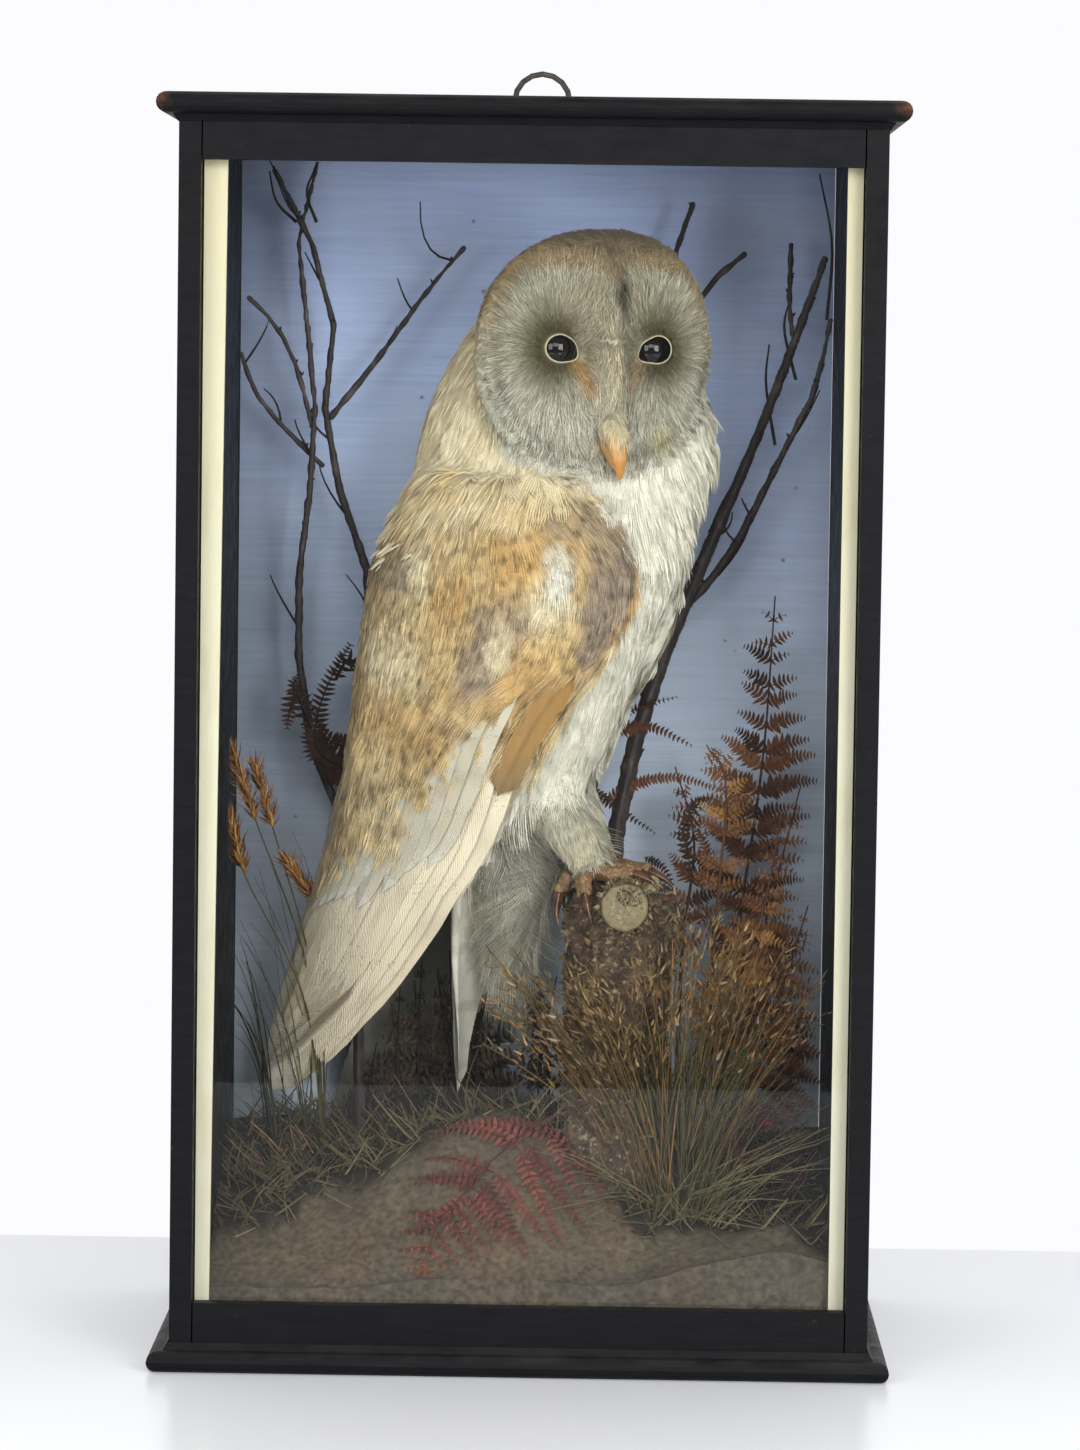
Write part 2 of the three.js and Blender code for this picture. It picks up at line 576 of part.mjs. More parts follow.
// ---- branches: two leafless boughs against the backboard ----
const boughs = {
  left_main: {
    route: [
      [-60, 134, 64], [-62, 132, 160], [-64, 130, 246], [-67, 130, 302],
      [-84, 130, 350], [-80, 130, 391], [-91, 130, 431], [-105, 131, 457],
    ],
    radii: [3.2, 2.6, 2, 1.5, 1.2],
  },
  left_second: {
    route: [
      [-66, 124, 66], [-72, 125, 186], [-90, 127, 238], [-93, 128, 301],
      [-87, 126, 347], [-89, 132, 377], [-95, 134, 439], [-88, 136, 460],
    ],
    radii: [2.6, 2.2, 1.8, 1.3, 0.9],
  },
  left_twig_high: {
    route: [
      [-87, 128, 349], [-96, 132, 380], [-104, 134, 395], [-115, 134, 406],
    ],
    radii: [1.1, 0.8],
  },
  left_twig_low: {
    route: [
      [-84, 129, 339], [-98, 134, 352], [-112, 138, 368], [-118, 140, 384],
    ],
    radii: [1.1, 0.8],
  },
  left_twig_inner: {
    route: [
      [-82, 130, 358], [-66, 132, 378], [-43, 134, 410], [-29, 135, 427],
    ],
    radii: [1.3, 0.8],
  },
  right_main: {
    route: [
      [30, 108, 64], [33, 110, 181], [44, 118, 240], [63, 122, 292],
      [81, 126, 334], [96, 130, 372], [115, 134, 425],
    ],
    radii: [4.6, 4, 3.2, 2.4, 1.4],
  },
  right_second: {
    route: [
      [60, 122, 284], [77, 124, 304], [100, 128, 349], [111, 130, 371],
      [117.5, 134, 401],
    ],
    radii: [2, 1.6, 1],
  },
  right_twig: {
    route: [
      [110, 130, 368], [104, 131, 384], [101, 132, 404], [101, 133, 430],
    ],
    radii: [1.2, 0.8],
  },
  head_main: {
    route: [
      [45, 119, 243], [47, 128, 304], [48, 130, 359], [50, 130, 407],
      [62, 130, 446],
    ],
    radii: [2.2, 1.8, 1.3],
  },
  head_twig: {
    route: [
      [48, 130, 351], [56, 132, 387], [67, 134, 411], [83, 134, 426],
    ],
    radii: [1.5, 1],
  },
};
const bough = (name) => {
  const { route, radii } = boughs[name];
  return limb(route, radii, { sides: 4, steps: Math.ceil(1.5 * route.length) });
};
const boughRooms = [];
for (const name of Object.keys(boughs)) {
  part("branch_" + name, outside(bough(name), ...boughRooms, ...wings), "bark");
  boughRooms.push(room(bough(name)));
}

// ---- bracken and grass ----
const LEAF = 0.9; // thickness of a leaflet
// A frond: a rib with pairs of leaflets, longest a third of the way up, laid along a curve.
function frond(route, length, pairs, side) {
  const curve = new THREE.CatmullRomCurve3(route.map(vector));
  const across = vector(side).normalize();
  const rib = 0.9;
  return solid(
    moulded(new THREE.BoxGeometry(1, 1, 1, 2 * pairs, 2, 1), (x, y, z) => {
      const t = x + 0.5;
      const leaflet = Math.round(t * 2 * pairs) % 2 === 1;
      const reach = length * Math.sin(Math.PI * (0.12 + 0.82 * t)) ** 0.8 * (1.05 - 0.7 * t);
      const wide = 2 * y * (leaflet ? reach : rib);
      const ahead = leaflet && y !== 0 ? 0.3 / pairs : 0; // leaflets slant towards the tip
      const tangent = curve.getTangent(t);
      const face = new THREE.Vector3().crossVectors(tangent, across).normalize();
      return curve
        .getPoint(Math.min(1, t + ahead))
        .addScaledVector(across, wide)
        .addScaledVector(face, z * LEAF - 0.006 * wide * wide)
        .toArray();
    }),
  );
}
const fronds = {
  bracken_tall: [[
    [70, 112, 90], [84, 118, 160], [93, 124, 225], [97, 128, 284],
  ], 27, 9, [1, 0.15, -0.1], "rust"],
  bracken_low: [[
    [66, 92, 96], [78, 86, 130], [92, 86, 165], [100, 90, 208],
  ], 22, 7, [0.9, -0.1, -0.35], "rust"],
  bracken_left: [[
    [-72, 118, 168], [-78, 122, 195], [-84, 124, 222], [-76, 124, 238],
  ], 11, 5, [1, 0, 0.2], "rust"],
  fern_front: [[
    [47, 62, 66], [22, 51, 98], [-14, 37, 72], [-38, 18, 38],
  ], 24, 8, [0.67, -0.53, -0.31], "crimson"],
  fern_right: [[
    [71, 78, 58], [84, 72, 80], [98, 68, 91], [112, 64, 90],
  ], 15, 5, [0.1, -0.3, 1], "crimson"],
};
const stems = [...legRooms, ...boughRooms, room(stump), room(stub), ...wings, room(tail)];
const ground = outside(groundwork, room(stump), ...boughRooms);
const laid = [];
for (const [name, [route, length, pairs, side, look]] of Object.entries(fronds)) {
  part(name, outside(frond(route, length, pairs, side), ...stems, ...laid, room(groundwork)), look);
  laid.push(room(frond(route, length, pairs, side)));
}

// A tussock: blades fanning out of one root.
function tussock(root, blades, tall, spread) {
  const made = [];
  for (let k = 0; k < blades; k++) {
    const way = radians(200 * (k / (blades - 1)) - 10);
    const lean = spread * (0.45 + 0.55 * Math.abs(Math.sin(3.1 * k + 1)));
    const high = tall * (0.72 + 0.28 * Math.cos(2.3 * k));
    const tip = [root[0] + lean * Math.cos(way), root[1] - 0.4 * lean * Math.sin(way), root[2] + high];
    const bend = vector(root).lerp(vector(tip), 0.25).setZ(root[2] + 0.55 * high).toArray();
    made.push(limb([root, bend, tip], [1.3, 0.9, 0.45], { sides: 3, steps: 2 }));
  }
  return join(...made);
}
const grassRoot = [56, 42, groundHeight(56, 42) + 0.5];
part("grass_clump", outside(tussock(grassRoot, 7, 78, 52), ...stems, ...laid, room(groundwork)), "straw");
const strawRoot = [-100, 118, groundHeight(-100, 118) + 0.5];
part("grass_left", outside(tussock(strawRoot, 5, 150, 16), ...stems, ...laid, room(groundwork)), "straw");
part("groundwork", ground, "sand");

export default owlCase;
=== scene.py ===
"""Looks of a taxidermy barn owl in its glazed wall case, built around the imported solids.

Everything is in metres in the row frame: X across, Y away from the viewer, Z up. Places are
written with spot(), in millimetres across, back from the case's front face, and up.
"""

import math
from types import SimpleNamespace

import bmesh
import bpy
import numpy as np
from mathutils import Matrix, Vector
from mathutils.bvhtree import BVHTree


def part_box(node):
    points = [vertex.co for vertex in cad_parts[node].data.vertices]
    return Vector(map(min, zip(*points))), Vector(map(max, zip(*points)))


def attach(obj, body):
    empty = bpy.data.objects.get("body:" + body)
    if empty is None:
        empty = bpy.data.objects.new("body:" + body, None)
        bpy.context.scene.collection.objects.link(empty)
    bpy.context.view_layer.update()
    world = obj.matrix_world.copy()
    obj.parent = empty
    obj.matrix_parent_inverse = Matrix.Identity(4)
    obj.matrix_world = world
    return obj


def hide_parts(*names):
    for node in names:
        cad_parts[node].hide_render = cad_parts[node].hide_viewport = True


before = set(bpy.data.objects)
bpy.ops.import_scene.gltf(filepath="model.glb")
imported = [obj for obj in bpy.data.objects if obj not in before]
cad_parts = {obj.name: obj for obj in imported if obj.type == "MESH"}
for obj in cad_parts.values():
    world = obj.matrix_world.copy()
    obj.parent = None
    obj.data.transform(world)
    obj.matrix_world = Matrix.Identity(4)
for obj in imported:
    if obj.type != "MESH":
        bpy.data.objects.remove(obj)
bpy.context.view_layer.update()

MM = 0.001
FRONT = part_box("case_side_left")[0].y  # the case's front face


def spot(x, back, z):
    """A place in the case: millimetres across, back from its front face, and up."""
    return Vector((x * MM, FRONT + back * MM, z * MM))


def srgb(red, green, blue):
    """A colour of 0 to 255 parts, as the linear values that shaders take."""
    parts = np.array((red, green, blue)) / 255
    return tuple(float(v) for v in np.where(parts > 0.04, ((parts + 0.055) / 1.055) ** 2.4, parts / 12.92))


def ease(value, low, high):
    """0 below low, 1 above high, and smooth between them."""
    t = np.clip((value - low) / (high - low), 0, 1)
    return t * t * (3 - 2 * t)


def bell(value, width):
    return np.exp(-((value / width) ** 2))


# ---- camera, lights and floor ----
PICTURE = (1080, 1450)  # pixels across and down
FOCAL_PIXELS = 4958.6
SENSOR = 36.0  # mm, along the picture's longer side
CAMERA_AT = spot(25.0, -1850.0, 382.8)
CAMERA_YAW, CAMERA_PITCH, CAMERA_ROLL = 0.0107, 0.0736, 0.0139


def camera_axes():
    """The camera's right, ahead and up."""
    cos_yaw, sin_yaw = math.cos(CAMERA_YAW), math.sin(CAMERA_YAW)
    cos_pitch, sin_pitch = math.cos(CAMERA_PITCH), math.sin(CAMERA_PITCH)
    right = Vector((cos_yaw, sin_yaw, 0))
    ahead = Vector((-sin_yaw * cos_pitch, cos_yaw * cos_pitch, -sin_pitch))
    up = Vector((-sin_yaw * sin_pitch, cos_yaw * sin_pitch, cos_pitch))
    cos_roll, sin_roll = math.cos(CAMERA_ROLL), math.sin(CAMERA_ROLL)
    return right * cos_roll + up * sin_roll, ahead, up * cos_roll - right * sin_roll


def camera_ray(px, py):
    """Where the camera stands and the way it looks through a pixel, in the case in mm."""
    right, ahead, up = camera_axes()
    way = ahead + right * ((px - PICTURE[0] / 2) / FOCAL_PIXELS) - up * ((py - PICTURE[1] / 2) / FOCAL_PIXELS)
    eye = (np.array(CAMERA_AT) - (0, FRONT, 0)) / MM
    return eye, np.array(way)


def make_camera():
    data = bpy.data.cameras.new("camera")
    data.sensor_width = SENSOR
    data.lens = FOCAL_PIXELS * SENSOR / max(PICTURE)
    data.clip_start = 0.05
    data.clip_end = 60
    right, ahead, up = camera_axes()
    camera = bpy.data.objects.new("camera", data)
    bpy.context.scene.collection.objects.link(camera)
    turn = Matrix((right, up, -ahead)).transposed().to_4x4()
    camera.matrix_world = Matrix.Translation(CAMERA_AT) @ turn
    bpy.context.scene.camera = camera


def area_light(name, at, aim, size, power):
    data = bpy.data.lights.new(name, "AREA")
    data.shape = "RECTANGLE"
    data.size, data.size_y = size
    data.energy = power
    lamp = bpy.data.objects.new(name, data)
    bpy.context.scene.collection.objects.link(lamp)
    lamp.location = at
    lamp.rotation_euler = (Vector(aim) - Vector(at)).to_track_quat("-Z", "Y").to_euler()


class Finish:
    """A material's nodes, added with short calls. Patterns are laid out in metres on the piece."""

    def __init__(self, name, **sockets):
        self.material = bpy.data.materials.new(name)
        self.material.use_nodes = True
        self.tree = self.material.node_tree
        self.shader = self.tree.nodes["Principled BSDF"]
        self.place = self.add("ShaderNodeTexCoord").outputs["Object"]
        self.set(**sockets)

    def feed(self, socket, value):
        if isinstance(value, bpy.types.NodeSocket):
            self.tree.links.new(value, socket)
        elif socket.type == "RGBA" and len(value) == 3:
            socket.default_value = (*value, 1)
        else:
            socket.default_value = value

    def add(self, kind, inputs=None, **properties):
        made = self.tree.nodes.new(kind)
        for key, value in properties.items():
            setattr(made, key, value)
        for key, value in (inputs or {}).items():
            self.feed(made.inputs[key], value)
        return made

    def set(self, **sockets):
        """Sets the shader's sockets by name, with _ for a space."""
        for key, value in sockets.items():
            self.feed(self.shader.inputs[key.replace("_", " ")], value)

    def stretched(self, scale, turn=(0, 0, 0)):
        inputs = {"Vector": self.place, "Scale": scale, "Rotation": turn}
        return self.add("ShaderNodeMapping", inputs).outputs[0]

    def noise(self, scale, detail=3.0, roughness=0.55, stretch=None, distortion=0.0):
        inputs = {"Scale": scale, "Detail": detail, "Roughness": roughness, "Distortion": distortion}
        inputs["Vector"] = self.stretched(stretch) if stretch else self.place
        return self.add("ShaderNodeTexNoise", inputs).outputs["Fac"]

    def cells(self, scale, feature="F1"):
        inputs = {"Vector": self.place, "Scale": scale}
        return self.add("ShaderNodeTexVoronoi", inputs, feature=feature).outputs["Distance"]

    def ramp(self, value, *stops):
        """value turned into the colours or greys of stops, each (position, colour)."""
        made = self.add("ShaderNodeValToRGB", {"Fac": value})
        elements = made.color_ramp.elements
        while len(elements) < len(stops):
            elements.new(0.5)
        for element, (position, colour) in zip(elements, stops):
            element.position = position
            element.color = (colour,) * 3 + (1,) if isinstance(colour, (int, float)) else (*colour, 1)
        return made.outputs["Color"]

    def math(self, operation, *values):
        made = self.add("ShaderNodeMath", operation=operation)
        for socket, value in zip(made.inputs, values):
            self.feed(socket, value)
        return made.outputs[0]

    def mix(self, amount, first, second, blend="MIX"):
        made = self.add("ShaderNodeMix", data_type="RGBA", blend_type=blend)
        self.feed(made.inputs[0], amount)
        self.feed(made.inputs[6], first)
        self.feed(made.inputs[7], second)
        return made.outputs[2]

    def times(self, tint, shade):
        """A colour made lighter and darker by a grey pattern."""
        return self.mix(1.0, tint, shade, "MULTIPLY")

    def attribute(self, name, output="Color"):
        return self.add("ShaderNodeAttribute", attribute_name=name).outputs[output]

    def axis(self, letter, source=None):
        made = self.add("ShaderNodeSeparateXYZ")
        self.feed(made.inputs[0], source or self.place)
        return made.outputs[letter]

    def share(self, letter, low, high):
        """0 to 1 between two places along an axis."""
        inputs = {"Value": self.axis(letter), "From Min": low, "From Max": high}
        return self.add("ShaderNodeMapRange", inputs).outputs[0]

    def distance(self, place):
        made = self.add("ShaderNodeVectorMath", {1: place}, operation="DISTANCE")
        self.feed(made.inputs[0], self.place)
        return made.outputs["Value"]

    def facing_up(self):
        """How much the surface faces up, 0 to 1."""
        normal = self.add("ShaderNodeNewGeometry").outputs["Normal"]
        return self.ramp(self.axis("Z", normal), (0.3, 0.0), (0.9, 1.0))

    def bump(self, height, distance, strength=1.0):
        made = self.add("ShaderNodeBump", {"Height": height, "Distance": distance, "Strength": strength})
        last = self.shader.inputs["Normal"]
        if last.is_linked:
            self.feed(made.inputs["Normal"], last.links[0].from_socket)
        self.feed(last, made.outputs[0])


FLOOR_FRONT = FRONT - 0.73  # the pale table ends here, and the glass mirrors it that far
FLOOR_BACK = 0.2
FLOOR_HALF = 2.6


def make_floor():
    bm = bmesh.new()
    corners = [(-1, FLOOR_FRONT), (1, FLOOR_FRONT), (1, FLOOR_BACK), (-1, FLOOR_BACK)]
    bm.faces.new([bm.verts.new((side * FLOOR_HALF, y, 0)) for side, y in corners])
    mesh = bpy.data.meshes.new("floor")
    bm.to_mesh(mesh)
    floor = bpy.data.objects.new("floor", mesh)
    bpy.context.scene.collection.objects.link(floor)
    pale = Finish("pale_floor", Roughness=0.28)
    pale.set(Base_Color=pale.ramp(pale.noise(3), (0.3, srgb(232, 233, 236)), (0.7, srgb(238, 239, 241))))
    floor.data.materials.append(pale.material)


def make_room():
    """A white room whose far side, behind the viewer, is dim."""
    world = bpy.data.worlds.new("studio")
    bpy.context.scene.world = world
    world.use_nodes = True
    nodes, links = world.node_tree.nodes, world.node_tree.links
    ramp = nodes.new("ShaderNodeValToRGB")
    split = nodes.new("ShaderNodeSeparateXYZ")
    half = nodes.new("ShaderNodeMath")
    half.operation = "MULTIPLY_ADD"
    half.inputs[1].default_value = 0.5
    half.inputs[2].default_value = 0.5
    links.new(nodes.new("ShaderNodeTexCoord").outputs["Generated"], split.inputs[0])
    links.new(split.outputs["Y"], half.inputs[0])
    links.new(half.outputs[0], ramp.inputs["Fac"])
    for element, position, grey in zip(ramp.color_ramp.elements, (0.12, 0.6),
                                       (srgb(140, 142, 146), srgb(252, 252, 254))):
        element.position = position
        element.color = (*grey, 1)
    links.new(ramp.outputs["Color"], nodes["Background"].inputs["Color"])
    nodes["Background"].inputs["Strength"].default_value = 1.0


LIGHTS = [  # place and size in metres, power in watts
    ("key", (-1.0, -1.78, 0.66), (0.8, 1.1), 19),
    ("fill", (0.95, -1.8, 0.6), (0.8, 1.1), 36),
    ("overhead", (0.0, -1.8, 1.02), (1.0, 0.6), 12),
]
LIT = (0, 0, 0.25)  # the place they all face


def make_stage():
    make_floor()
    make_room()
    for name, at, size, power in LIGHTS:
        area_light(name, at, LIT, size, power)
    settings = bpy.context.scene.view_settings
    settings.view_transform = "Standard"
    settings.look = "None"


# ---- meshes from arrays ----
def mesh_object(name, points, faces, *finishes, smooth=True):
    """A piece from an array of points and one of faces that all have as many corners."""
    points = np.asarray(points, np.float32).reshape(-1, 3)
    faces = np.asarray(faces, np.int32)
    data = bpy.data.meshes.new(name)
    data.vertices.add(len(points))
    data.vertices.foreach_set("co", points.ravel())
    data.loops.add(faces.size)
    data.loops.foreach_set("vertex_index", faces.ravel())
    data.polygons.add(len(faces))
    data.polygons.foreach_set("loop_start", np.arange(len(faces), dtype=np.int32) * faces.shape[1])
    data.polygons.foreach_set("use_smooth", np.full(len(faces), smooth))
    data.update(calc_edges=True)
    for finish in finishes:
        data.materials.append(finish.material)
    made = bpy.data.objects.new(name, data)
    bpy.context.scene.collection.objects.link(made)
    return made


def set_tint(obj, colours):
    """Stores a colour for each vertex, which the piece's material reads."""
    colours = np.asarray(colours, np.float32).reshape(-1, 3)
    held = obj.data.attributes.new("tint", "FLOAT_COLOR", "POINT")
    rows = np.column_stack([colours, np.ones(len(colours))])
    held.data.foreach_set("color", rows.astype(np.float32).ravel())


def set_map(obj, corners):
    """The piece's OFBake map, from a place for each corner of its faces."""
    held = obj.data.uv_layers.new(name="OFBake")
    held.data.foreach_set("uv", np.asarray(corners, np.float32).ravel())


def piece(obj, slot, *replaced):
    """obj belongs to the object and stands for the CAD nodes replaced; slot is not used."""
    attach(obj, "root")
    if replaced:
        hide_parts(*replaced)
    return obj


def vertex_array(mesh, field="co"):
    held = np.empty(len(mesh.vertices) * 3, np.float32)
    mesh.vertices.foreach_get(field, held)
    return held.reshape(-1, 3).astype(float)


def with_modifiers(obj, *settings):
    """Adds modifiers, each (kind, properties), and applies them to obj's mesh."""
    for kind, properties in settings:
        modifier = obj.modifiers.new(kind, kind)
        for key, value in properties.items():
            setattr(modifier, key, value)
    bpy.context.view_layer.update()
    shaped = obj.evaluated_get(bpy.context.evaluated_depsgraph_get())
    made = bpy.data.meshes.new_from_object(shaped)
    obj.modifiers.clear()
    obj.data = made
    return obj


def node_mesh(node, swell=0.0):
    """Points and triangles of a CAD node, its corners merged and its surface moved out by swell."""
    bm = bmesh.new()
    bm.from_mesh(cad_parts[node].data)
    bmesh.ops.remove_doubles(bm, verts=bm.verts, dist=2e-6)
    bmesh.ops.triangulate(bm, faces=bm.faces)
    bm.normal_update()
    points = np.array([v.co + v.normal * swell for v in bm.verts])
    faces = np.array([[v.index for v in face.verts] for face in bm.faces])
    bm.free()
    return points, faces


def smoothed_copy(name, node, finish, voxel, rounds=4):
    """A node's shape remeshed evenly and smoothed, for a surface with fine relief."""
    points, faces = node_mesh(node)
    obj = mesh_object(name, points, faces, finish)
    obj = with_modifiers(obj, ("REMESH", {"mode": "VOXEL", "voxel_size": voxel}),
                         ("SMOOTH", {"factor": 0.5, "iterations": rounds}))
    obj.data.materials.clear()
    obj.data.materials.append(finish.material)
    obj.data.shade_smooth()
    return obj


def moved(obj, shift):
    """Moves each vertex along its normal by shift(points), in metres."""
    points, normals = vertex_array(obj.data), vertex_array(obj.data, "normal")
    points = points + normals * shift(points)[:, None]
    obj.data.vertices.foreach_set("co", points.astype(np.float32).ravel())
    obj.data.update()
    return obj


def lumps(points, size, seed):
    """Smooth noise of about -1 to 1 with features of that size, from a few crossed waves."""
    draw = np.random.default_rng(seed)
    total = np.zeros(len(points))
    for _ in range(9):
        way = draw.normal(size=3)
        way *= draw.uniform(0.6, 1.5) * 2 * math.pi / (size * np.linalg.norm(way) * 1.6)
        total += np.sin(points @ way + draw.uniform(0, 6.3))
    return total / 3


def spline(points, count):
    """count places along a smooth curve through points, and the directions there."""
    points = np.asarray(points, float)
    ends = np.vstack([2 * points[0] - points[1], points, 2 * points[-1] - points[-2]])
    at = np.linspace(0, len(points) - 1, count)
    k = np.minimum(at.astype(int), len(points) - 2)
    f = (at - k)[:, None]
    a, b, c, d = ends[k], ends[k + 1], ends[k + 2], ends[k + 3]
    places = b + 0.5 * f * (c - a + f * (2 * a - 5 * b + 4 * c - d + f * (3 * (b - c) + d - a)))
    ahead = np.gradient(places, axis=0)
    return places, ahead / np.linalg.norm(ahead, axis=1, keepdims=True)


def grid_quads(base):
    """Quads between neighbours in a grid of point numbers, whose last two axes are its rows and columns."""
    corners = [base[..., :-1, :-1], base[..., :-1, 1:], base[..., 1:, 1:], base[..., 1:, :-1]]
    return np.stack(corners, -1).reshape(-1, 4)


def ring_quads(base):
    """Quads round a stack of closed rings of point numbers."""
    beside = np.roll(base, -1, 1)
    return np.stack([base[:-1], beside[:-1], beside[1:], base[1:]], -1).reshape(-1, 4)


def unit(vectors):
    return vectors / np.maximum(np.linalg.norm(vectors, axis=-1, keepdims=True), 1e-12)


def tube(route, radii, sides=8, count=24):
    """Points and quads of a tapering closed tube along route, in metres."""
    places, ahead = spline(route, count)
    radius = np.interp(np.linspace(0, 1, count), np.linspace(0, 1, len(radii)), radii)
    radius[0] *= 0.4
    radius[-1] *= 0.4
    guide = np.array((0.31, 0.9, 0.17)) if abs(ahead[0][1]) < 0.8 else np.array((1.0, 0, 0.1))
    across = unit(np.cross(ahead, guide))
    other = np.cross(ahead, across)
    turn = np.linspace(0, 2 * math.pi, sides, endpoint=False)
    ring = across[:, None] * np.cos(turn)[None, :, None] + other[:, None] * np.sin(turn)[None, :, None]
    points = places[:, None] + ring * radius[:, None, None]
    row, side = np.meshgrid(np.arange(count - 1), np.arange(sides), indexing="ij")
    following = (side + 1) % sides
    quads = np.stack([row * sides + side, row * sides + following,
                      (row + 1) * sides + following, (row + 1) * sides + side], -1).reshape(-1, 4)
    half = sides // 2
    caps = []
    for base in (0, (count - 1) * sides):
        for k in range(half - 1):
            caps.append([base + k, base + k + 1, base + sides - 2 - k, base + sides - 1 - k])
    caps = np.array(caps)
    caps[: half - 1] = caps[: half - 1, ::-1]
    return points.reshape(-1, 3), np.vstack([quads, caps])


def joined(parts):
    """One set of points and faces from several."""
    points, faces, start = [], [], 0
    for part_points, part_faces in parts:
        points.append(part_points)
        faces.append(np.asarray(part_faces) + start)
        start += len(part_points)
    return np.vstack(points), np.vstack(faces)


# ---- the case ----
def paint(node, finish):
    """Gives a CAD node a finish and leaves its shape alone."""
    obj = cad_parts[node]
    for held in obj.material_slots:
        held.material = finish.material


def ebonised_wood():
    """Black-stained wood under dull varnish and paper tape, dusty on top and worn to bare wood at corners."""
    f = Finish("ebonised_wood", Roughness=0.5, Specular_IOR_Level=0.09)
    grain = f.noise(60, 5, 0.6, stretch=(1, 1, 9))
    black = f.ramp(grain, (0.3, srgb(8, 8, 10)), (0.7, srgb(15, 16, 18)))
    scuffs = f.ramp(f.noise(210, 6, 0.7), (0.64, 0.0), (0.74, 1.0))
    black = f.mix(f.math("MULTIPLY", scuffs, 0.12), black, srgb(92, 90, 86))
    dust = f.math("MULTIPLY", f.facing_up(), f.ramp(f.noise(45, 5), (0.35, 0.1), (0.75, 0.5)))
    black = f.mix(dust, black, srgb(62, 61, 60))
    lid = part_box("case_lid")
    bare = None
    for corner in ((lid[0].x, lid[0].y, lid[1].z), (lid[1].x, lid[0].y, lid[1].z)):
        ragged = f.math("ADD", f.distance(corner), f.math("MULTIPLY", f.noise(190, 4), 0.008))
        near = f.ramp(ragged, (0.0055, 0.9), (0.0095, 0.0))
        bare = near if bare is None else f.math("MAXIMUM", bare, near)
    wood = f.ramp(f.noise(320, 3), (0.35, srgb(62, 42, 28)), (0.65, srgb(112, 76, 50)))
    f.set(Base_Color=f.mix(bare, black, wood))
    f.set(Roughness=f.ramp(f.noise(120, 4), (0.3, 0.42), (0.7, 0.6)))
    f.bump(f.noise(28, 4, 0.6, stretch=(1, 1, 0.25)), 0.0004, 0.3)
    f.bump(f.noise(650, 3), 0.00015, 0.25)
    return f


def painted_backboard():
    """Sky blue size paint, paler towards the ground, brushed across, lightly fly-specked and darkened at both
    sides by painted shade.
    """
    f = Finish("backdrop_paint", Roughness=0.9)
    low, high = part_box("case_back")
    height = f.share("Z", low.z, high.z)
    wander = f.math("MULTIPLY_ADD", f.noise(9, 3), 0.16, -0.08)
    sky = f.ramp(f.math("ADD", height, wander),
                 (0.05, srgb(224, 236, 246)), (0.45, srgb(214, 228, 250)),
                 (0.75, srgb(196, 214, 252)), (1.0, srgb(186, 204, 250)))
    strokes = f.ramp(f.noise(1, 5, 0.7, stretch=(14, 14, 420)), (0.3, 0.86), (0.7, 1.08))
    sky = f.times(sky, strokes)
    cloudy = f.ramp(f.noise(24, 5, 0.65), (0.45, 0.0), (0.75, 0.35))
    sky = f.mix(cloudy, sky, srgb(214, 222, 236))
    # painted shade: the board darkens towards both side edges, most on the left, as the side walls' shadow
    across = f.share("X", low.x, high.x)
    side_wall_shade = f.ramp(f.math("ADD", across, f.math("MULTIPLY_ADD", f.noise(30, 4), 0.05, -0.025)),
                   (0.0, 0.36), (0.05, 0.42), (0.16, 1.0), (0.93, 1.0), (1.0, 0.6))
    sky = f.times(sky, side_wall_shade)
    specks = f.ramp(f.cells(95), (0.06, 1.0), (0.1, 0.0))
    few = f.ramp(f.noise(60, 2), (0.56, 0.0), (0.6, 1.0))
    sky = f.mix(f.math("MULTIPLY", f.math("MULTIPLY", specks, few), 0.6), sky, srgb(74, 76, 96))
    behind = f.share("Y", high.y - 2 * MM, high.y - MM)  # the board's bare rear face
    plank = f.ramp(f.noise(3, 5, 0.6, stretch=(60, 60, 4)), (0.3, srgb(46, 38, 32)), (0.7, srgb(66, 55, 46)))
    f.set(Base_Color=f.mix(behind, sky, plank))
    f.bump(f.noise(1, 5, 0.7, stretch=(20, 20, 600)), 0.0004, 0.6)
    return f


GLASS_SHEEN = 0.55  # old glass under soft light mirrors less than a new pane


def clear_glass():
    """A thin pane that mirrors a little, and lets lamps through."""
    f = Finish("case_glass")
    nodes, links = f.tree.nodes, f.tree.links
    nodes.remove(f.shader)
    clear = f.add("ShaderNodeBsdfTransparent", {"Color": (0.985, 0.99, 0.985)})
    smear = f.ramp(f.noise(14, 4), (0.3, 0.0), (0.8, 0.02))
    gloss = f.add("ShaderNodeBsdfAnisotropic", {"Color": (1, 1, 1), "Roughness": smear})
    sheen = f.add("ShaderNodeFresnel", {"IOR": 1.52}).outputs[0]
    outer = f.math("SUBTRACT", 1.0, f.add("ShaderNodeNewGeometry").outputs["Backfacing"])
    both = f.add("ShaderNodeMixShader")
    f.feed(both.inputs[0], f.math("MULTIPLY", sheen, f.math("MULTIPLY", outer, GLASS_SHEEN)))
    links.new(clear.outputs[0], both.inputs[1])
    links.new(gloss.outputs[0], both.inputs[2])
    links.new(both.outputs[0], nodes["Material Output"].inputs["Surface"])
    return f


